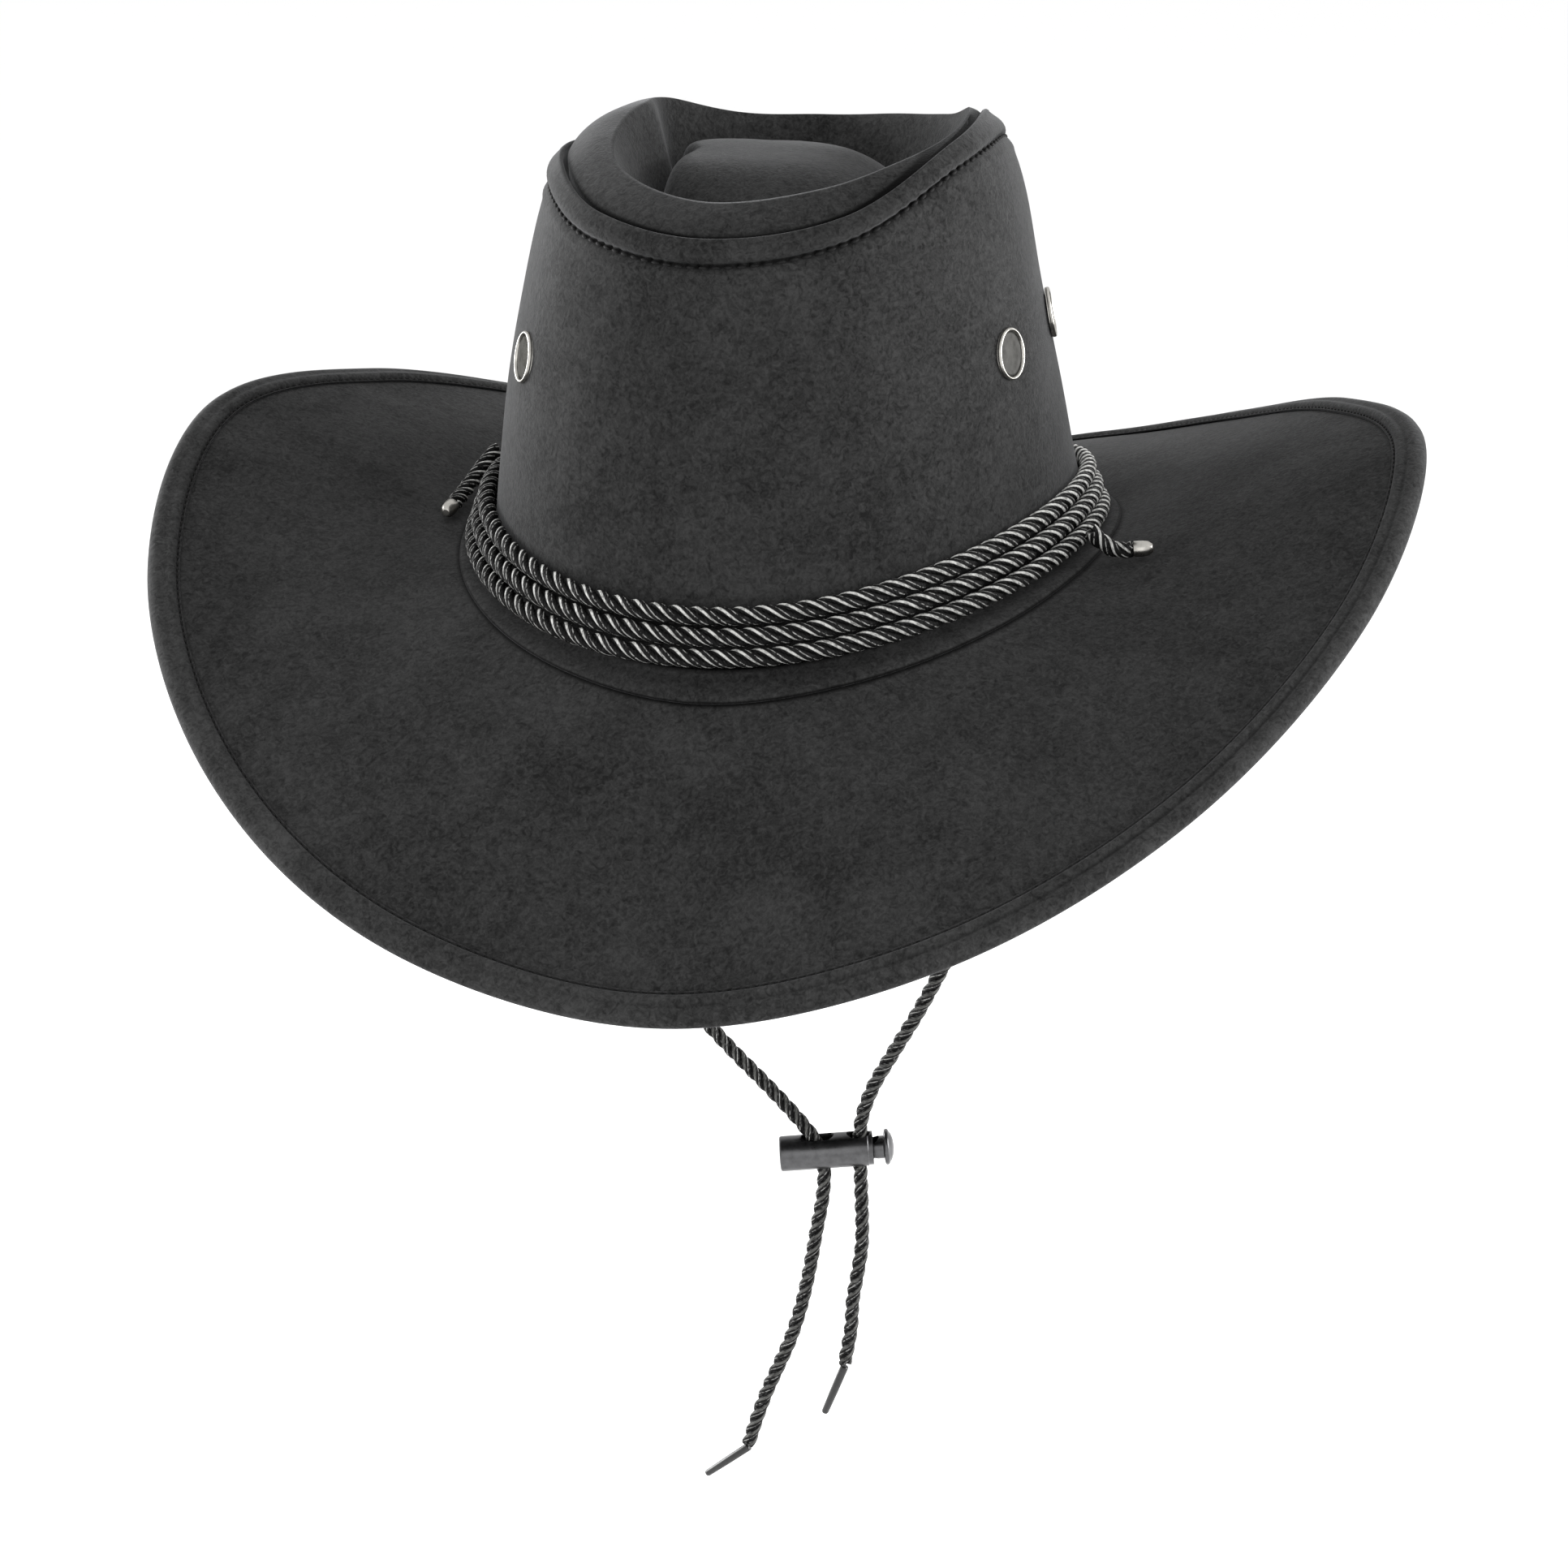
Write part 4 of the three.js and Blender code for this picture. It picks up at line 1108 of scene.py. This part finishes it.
def cross_cut(centre, length):
    """An upright cutter with round ends, along the toggle's axis."""
    cut = bmesh.new()
    outline = []
    radius = hole_width / 2
    straight = length / 2 - radius
    for end, first in ((straight, -90), (-straight, 90)):
        for k in range(13):
            angle = math.radians(first + 15 * k)
            outline.append((centre + end + radius * math.cos(angle), radius * math.sin(angle)))
    low = [cut.verts.new((x, y, -0.01)) for x, y in outline]
    high = [cut.verts.new((x, y, 0.01)) for x, y in outline]
    cut.faces.new(low[::-1])
    cut.faces.new(high)
    for k in range(len(outline)):
        after = (k + 1) % len(outline)
        cut.faces.new((low[k], low[after], high[after], high[k]))
    mesh = bpy.data.meshes.new("cross_cut")
    cut.to_mesh(mesh)
    cut.free()
    cutter = bpy.data.objects.new("cross_cut", mesh)
    bpy.context.scene.collection.objects.link(cutter)
    return cutter


def carved(body, cutters, edge):
    """Cuts each cutter out of a body, eases the edges and sets the result at the toggle."""
    for cutter in cutters:
        cut = body.modifiers.new("cut", "BOOLEAN")
        cut.object = cutter
        cut.operation = "DIFFERENCE"
        cut.solver = "EXACT"
    ease = body.modifiers.new("ease", "BEVEL")
    ease.width = edge
    ease.segments = 2
    ease.limit_method = "ANGLE"
    ease.angle_limit = math.radians(40)
    seen = body.evaluated_get(bpy.context.evaluated_depsgraph_get())
    mesh = bpy.data.meshes.new_from_object(seen)
    mesh.name = body.name
    mesh.transform(toggle_place)
    name = body.name
    bpy.data.objects.remove(body)
    for cutter in cutters:
        bpy.data.objects.remove(cutter)
    piece = bpy.data.objects.new(name, mesh)
    bpy.context.scene.collection.objects.link(piece)
    mesh.shade_smooth()
    mesh.set_sharp_from_angle(angle=math.radians(35))
    return piece


along_x = (1, 0, 0)
barrel_end = toggle_length / 2
barrel_bore = turned("bore", (
    (0, 0), (toggle_bore, 0), (toggle_bore, toggle_length), (0, toggle_length),
), (-barrel_end + toggle_end_wall, 0, 0), along_x, 64)
barrel_body = turned("toggle_barrel_shell", (
    (0, 0), (toggle_radius - 0.0007, 0), (toggle_radius - 0.0002, 0.0002), (toggle_radius, 0.0007),
    (toggle_radius, toggle_length - 0.0016), (toggle_radius - 0.00025, toggle_length - 0.0014),
    (toggle_radius - 0.00025, toggle_length - 0.0001), (toggle_radius - 0.0006, toggle_length),
    (0, toggle_length),
), (-barrel_end, 0, 0), along_x, 64)
barrel = carved(barrel_body, [barrel_bore, *[cross_cut(*place) for place in hole_places]], 0.00018)

slot_start = hole_places[0][0] - hole_places[0][1] / 2
slot_end = hole_places[1][0] + hole_places[1][1] / 2 + plunger_travel - slot_clearance
neck_end = barrel_end + plunger_travel + gap
plunger_start = slot_start - plunger_tip
button_turn = [
    (button_radius - 0.0006 + 0.0006 * math.cos(a), neck_end - plunger_start + 0.0008 + 0.0007 * math.sin(a))
    for a in np.linspace(-math.pi / 2, math.pi / 2, 9)
]
plunger_body = turned("toggle_plunger_button", (
    (0, 0), (plunger_radius - 0.0003, 0), (plunger_radius, 0.0003),
    (plunger_radius, neck_end - plunger_start - 0.0002),
    *button_turn,
    (button_radius * 0.72, neck_end - plunger_start + 0.0022),
    (button_radius * 0.4, neck_end - plunger_start + 0.0028),
    (0, neck_end - plunger_start + button_thickness),
), (plunger_start, 0, 0), along_x, 64)
plunger = carved(
    plunger_body, [cross_cut((slot_start + slot_end) / 2, slot_end - slot_start)], 0.00012)
for piece, node, body in ((barrel, "toggle_barrel", "hat"), (plunger, "toggle_plunger", "plunger")):
    piece.data.materials.clear()
    piece.data.materials.append(black_nickel)
    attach(piece, body)
    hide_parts(node)


# Studio.
# A pale floor well below the hat, a white surround and large soft lights, stronger at the two
# sides than in front, as in a plain product picture.
floor_level = cad_box[0][2] - 0.12
floor = mesh_object("floor", [
    (x * 6, y * 6, floor_level) for x, y in ((-1, -1), (1, -1), (1, 1), (-1, 1))
], [(0, 1, 2, 3)])
pale = bpy.data.materials.new("pale_floor")
pale_tree = nodes_of(pale)
pale_shader = add(pale_tree, "ShaderNodeBsdfPrincipled", {"Roughness": 0.9})
pale_shader.inputs["Base Color"].default_value = (0.95, 0.95, 0.95, 1)
add(pale_tree, "ShaderNodeOutputMaterial", {"Surface": pale_shader.outputs["BSDF"]})
floor.data.materials.append(pale)

world = bpy.data.worlds.new("studio")
bpy.context.scene.world = world
world.use_nodes = True
world.node_tree.nodes["Background"].inputs["Color"].default_value = (1, 1, 1, 1)
world.node_tree.nodes["Background"].inputs["Strength"].default_value = 1.05


def soft_light(name, place, aim, size, power):
    data = bpy.data.lights.new(name, "AREA")
    data.shape = "SQUARE"
    data.size = size
    data.energy = power
    light = bpy.data.objects.new(name, data)
    bpy.context.scene.collection.objects.link(light)
    light.location = place
    light.rotation_euler = (Vector(aim) - Vector(place)).to_track_quat("-Z", "Y").to_euler()


soft_light("front_light", (0.2, -1.6, 0.35), (0, 0, -0.02), 1.2, 4)
soft_light("left_light", (-1.5, 0.35, 0.16), (0, 0, 0.05), 0.9, 36)
soft_light("right_light", (1.5, 0.45, 0.16), (0, 0, 0.05), 0.9, 32)
bpy.context.scene.view_settings.view_transform = "Standard"
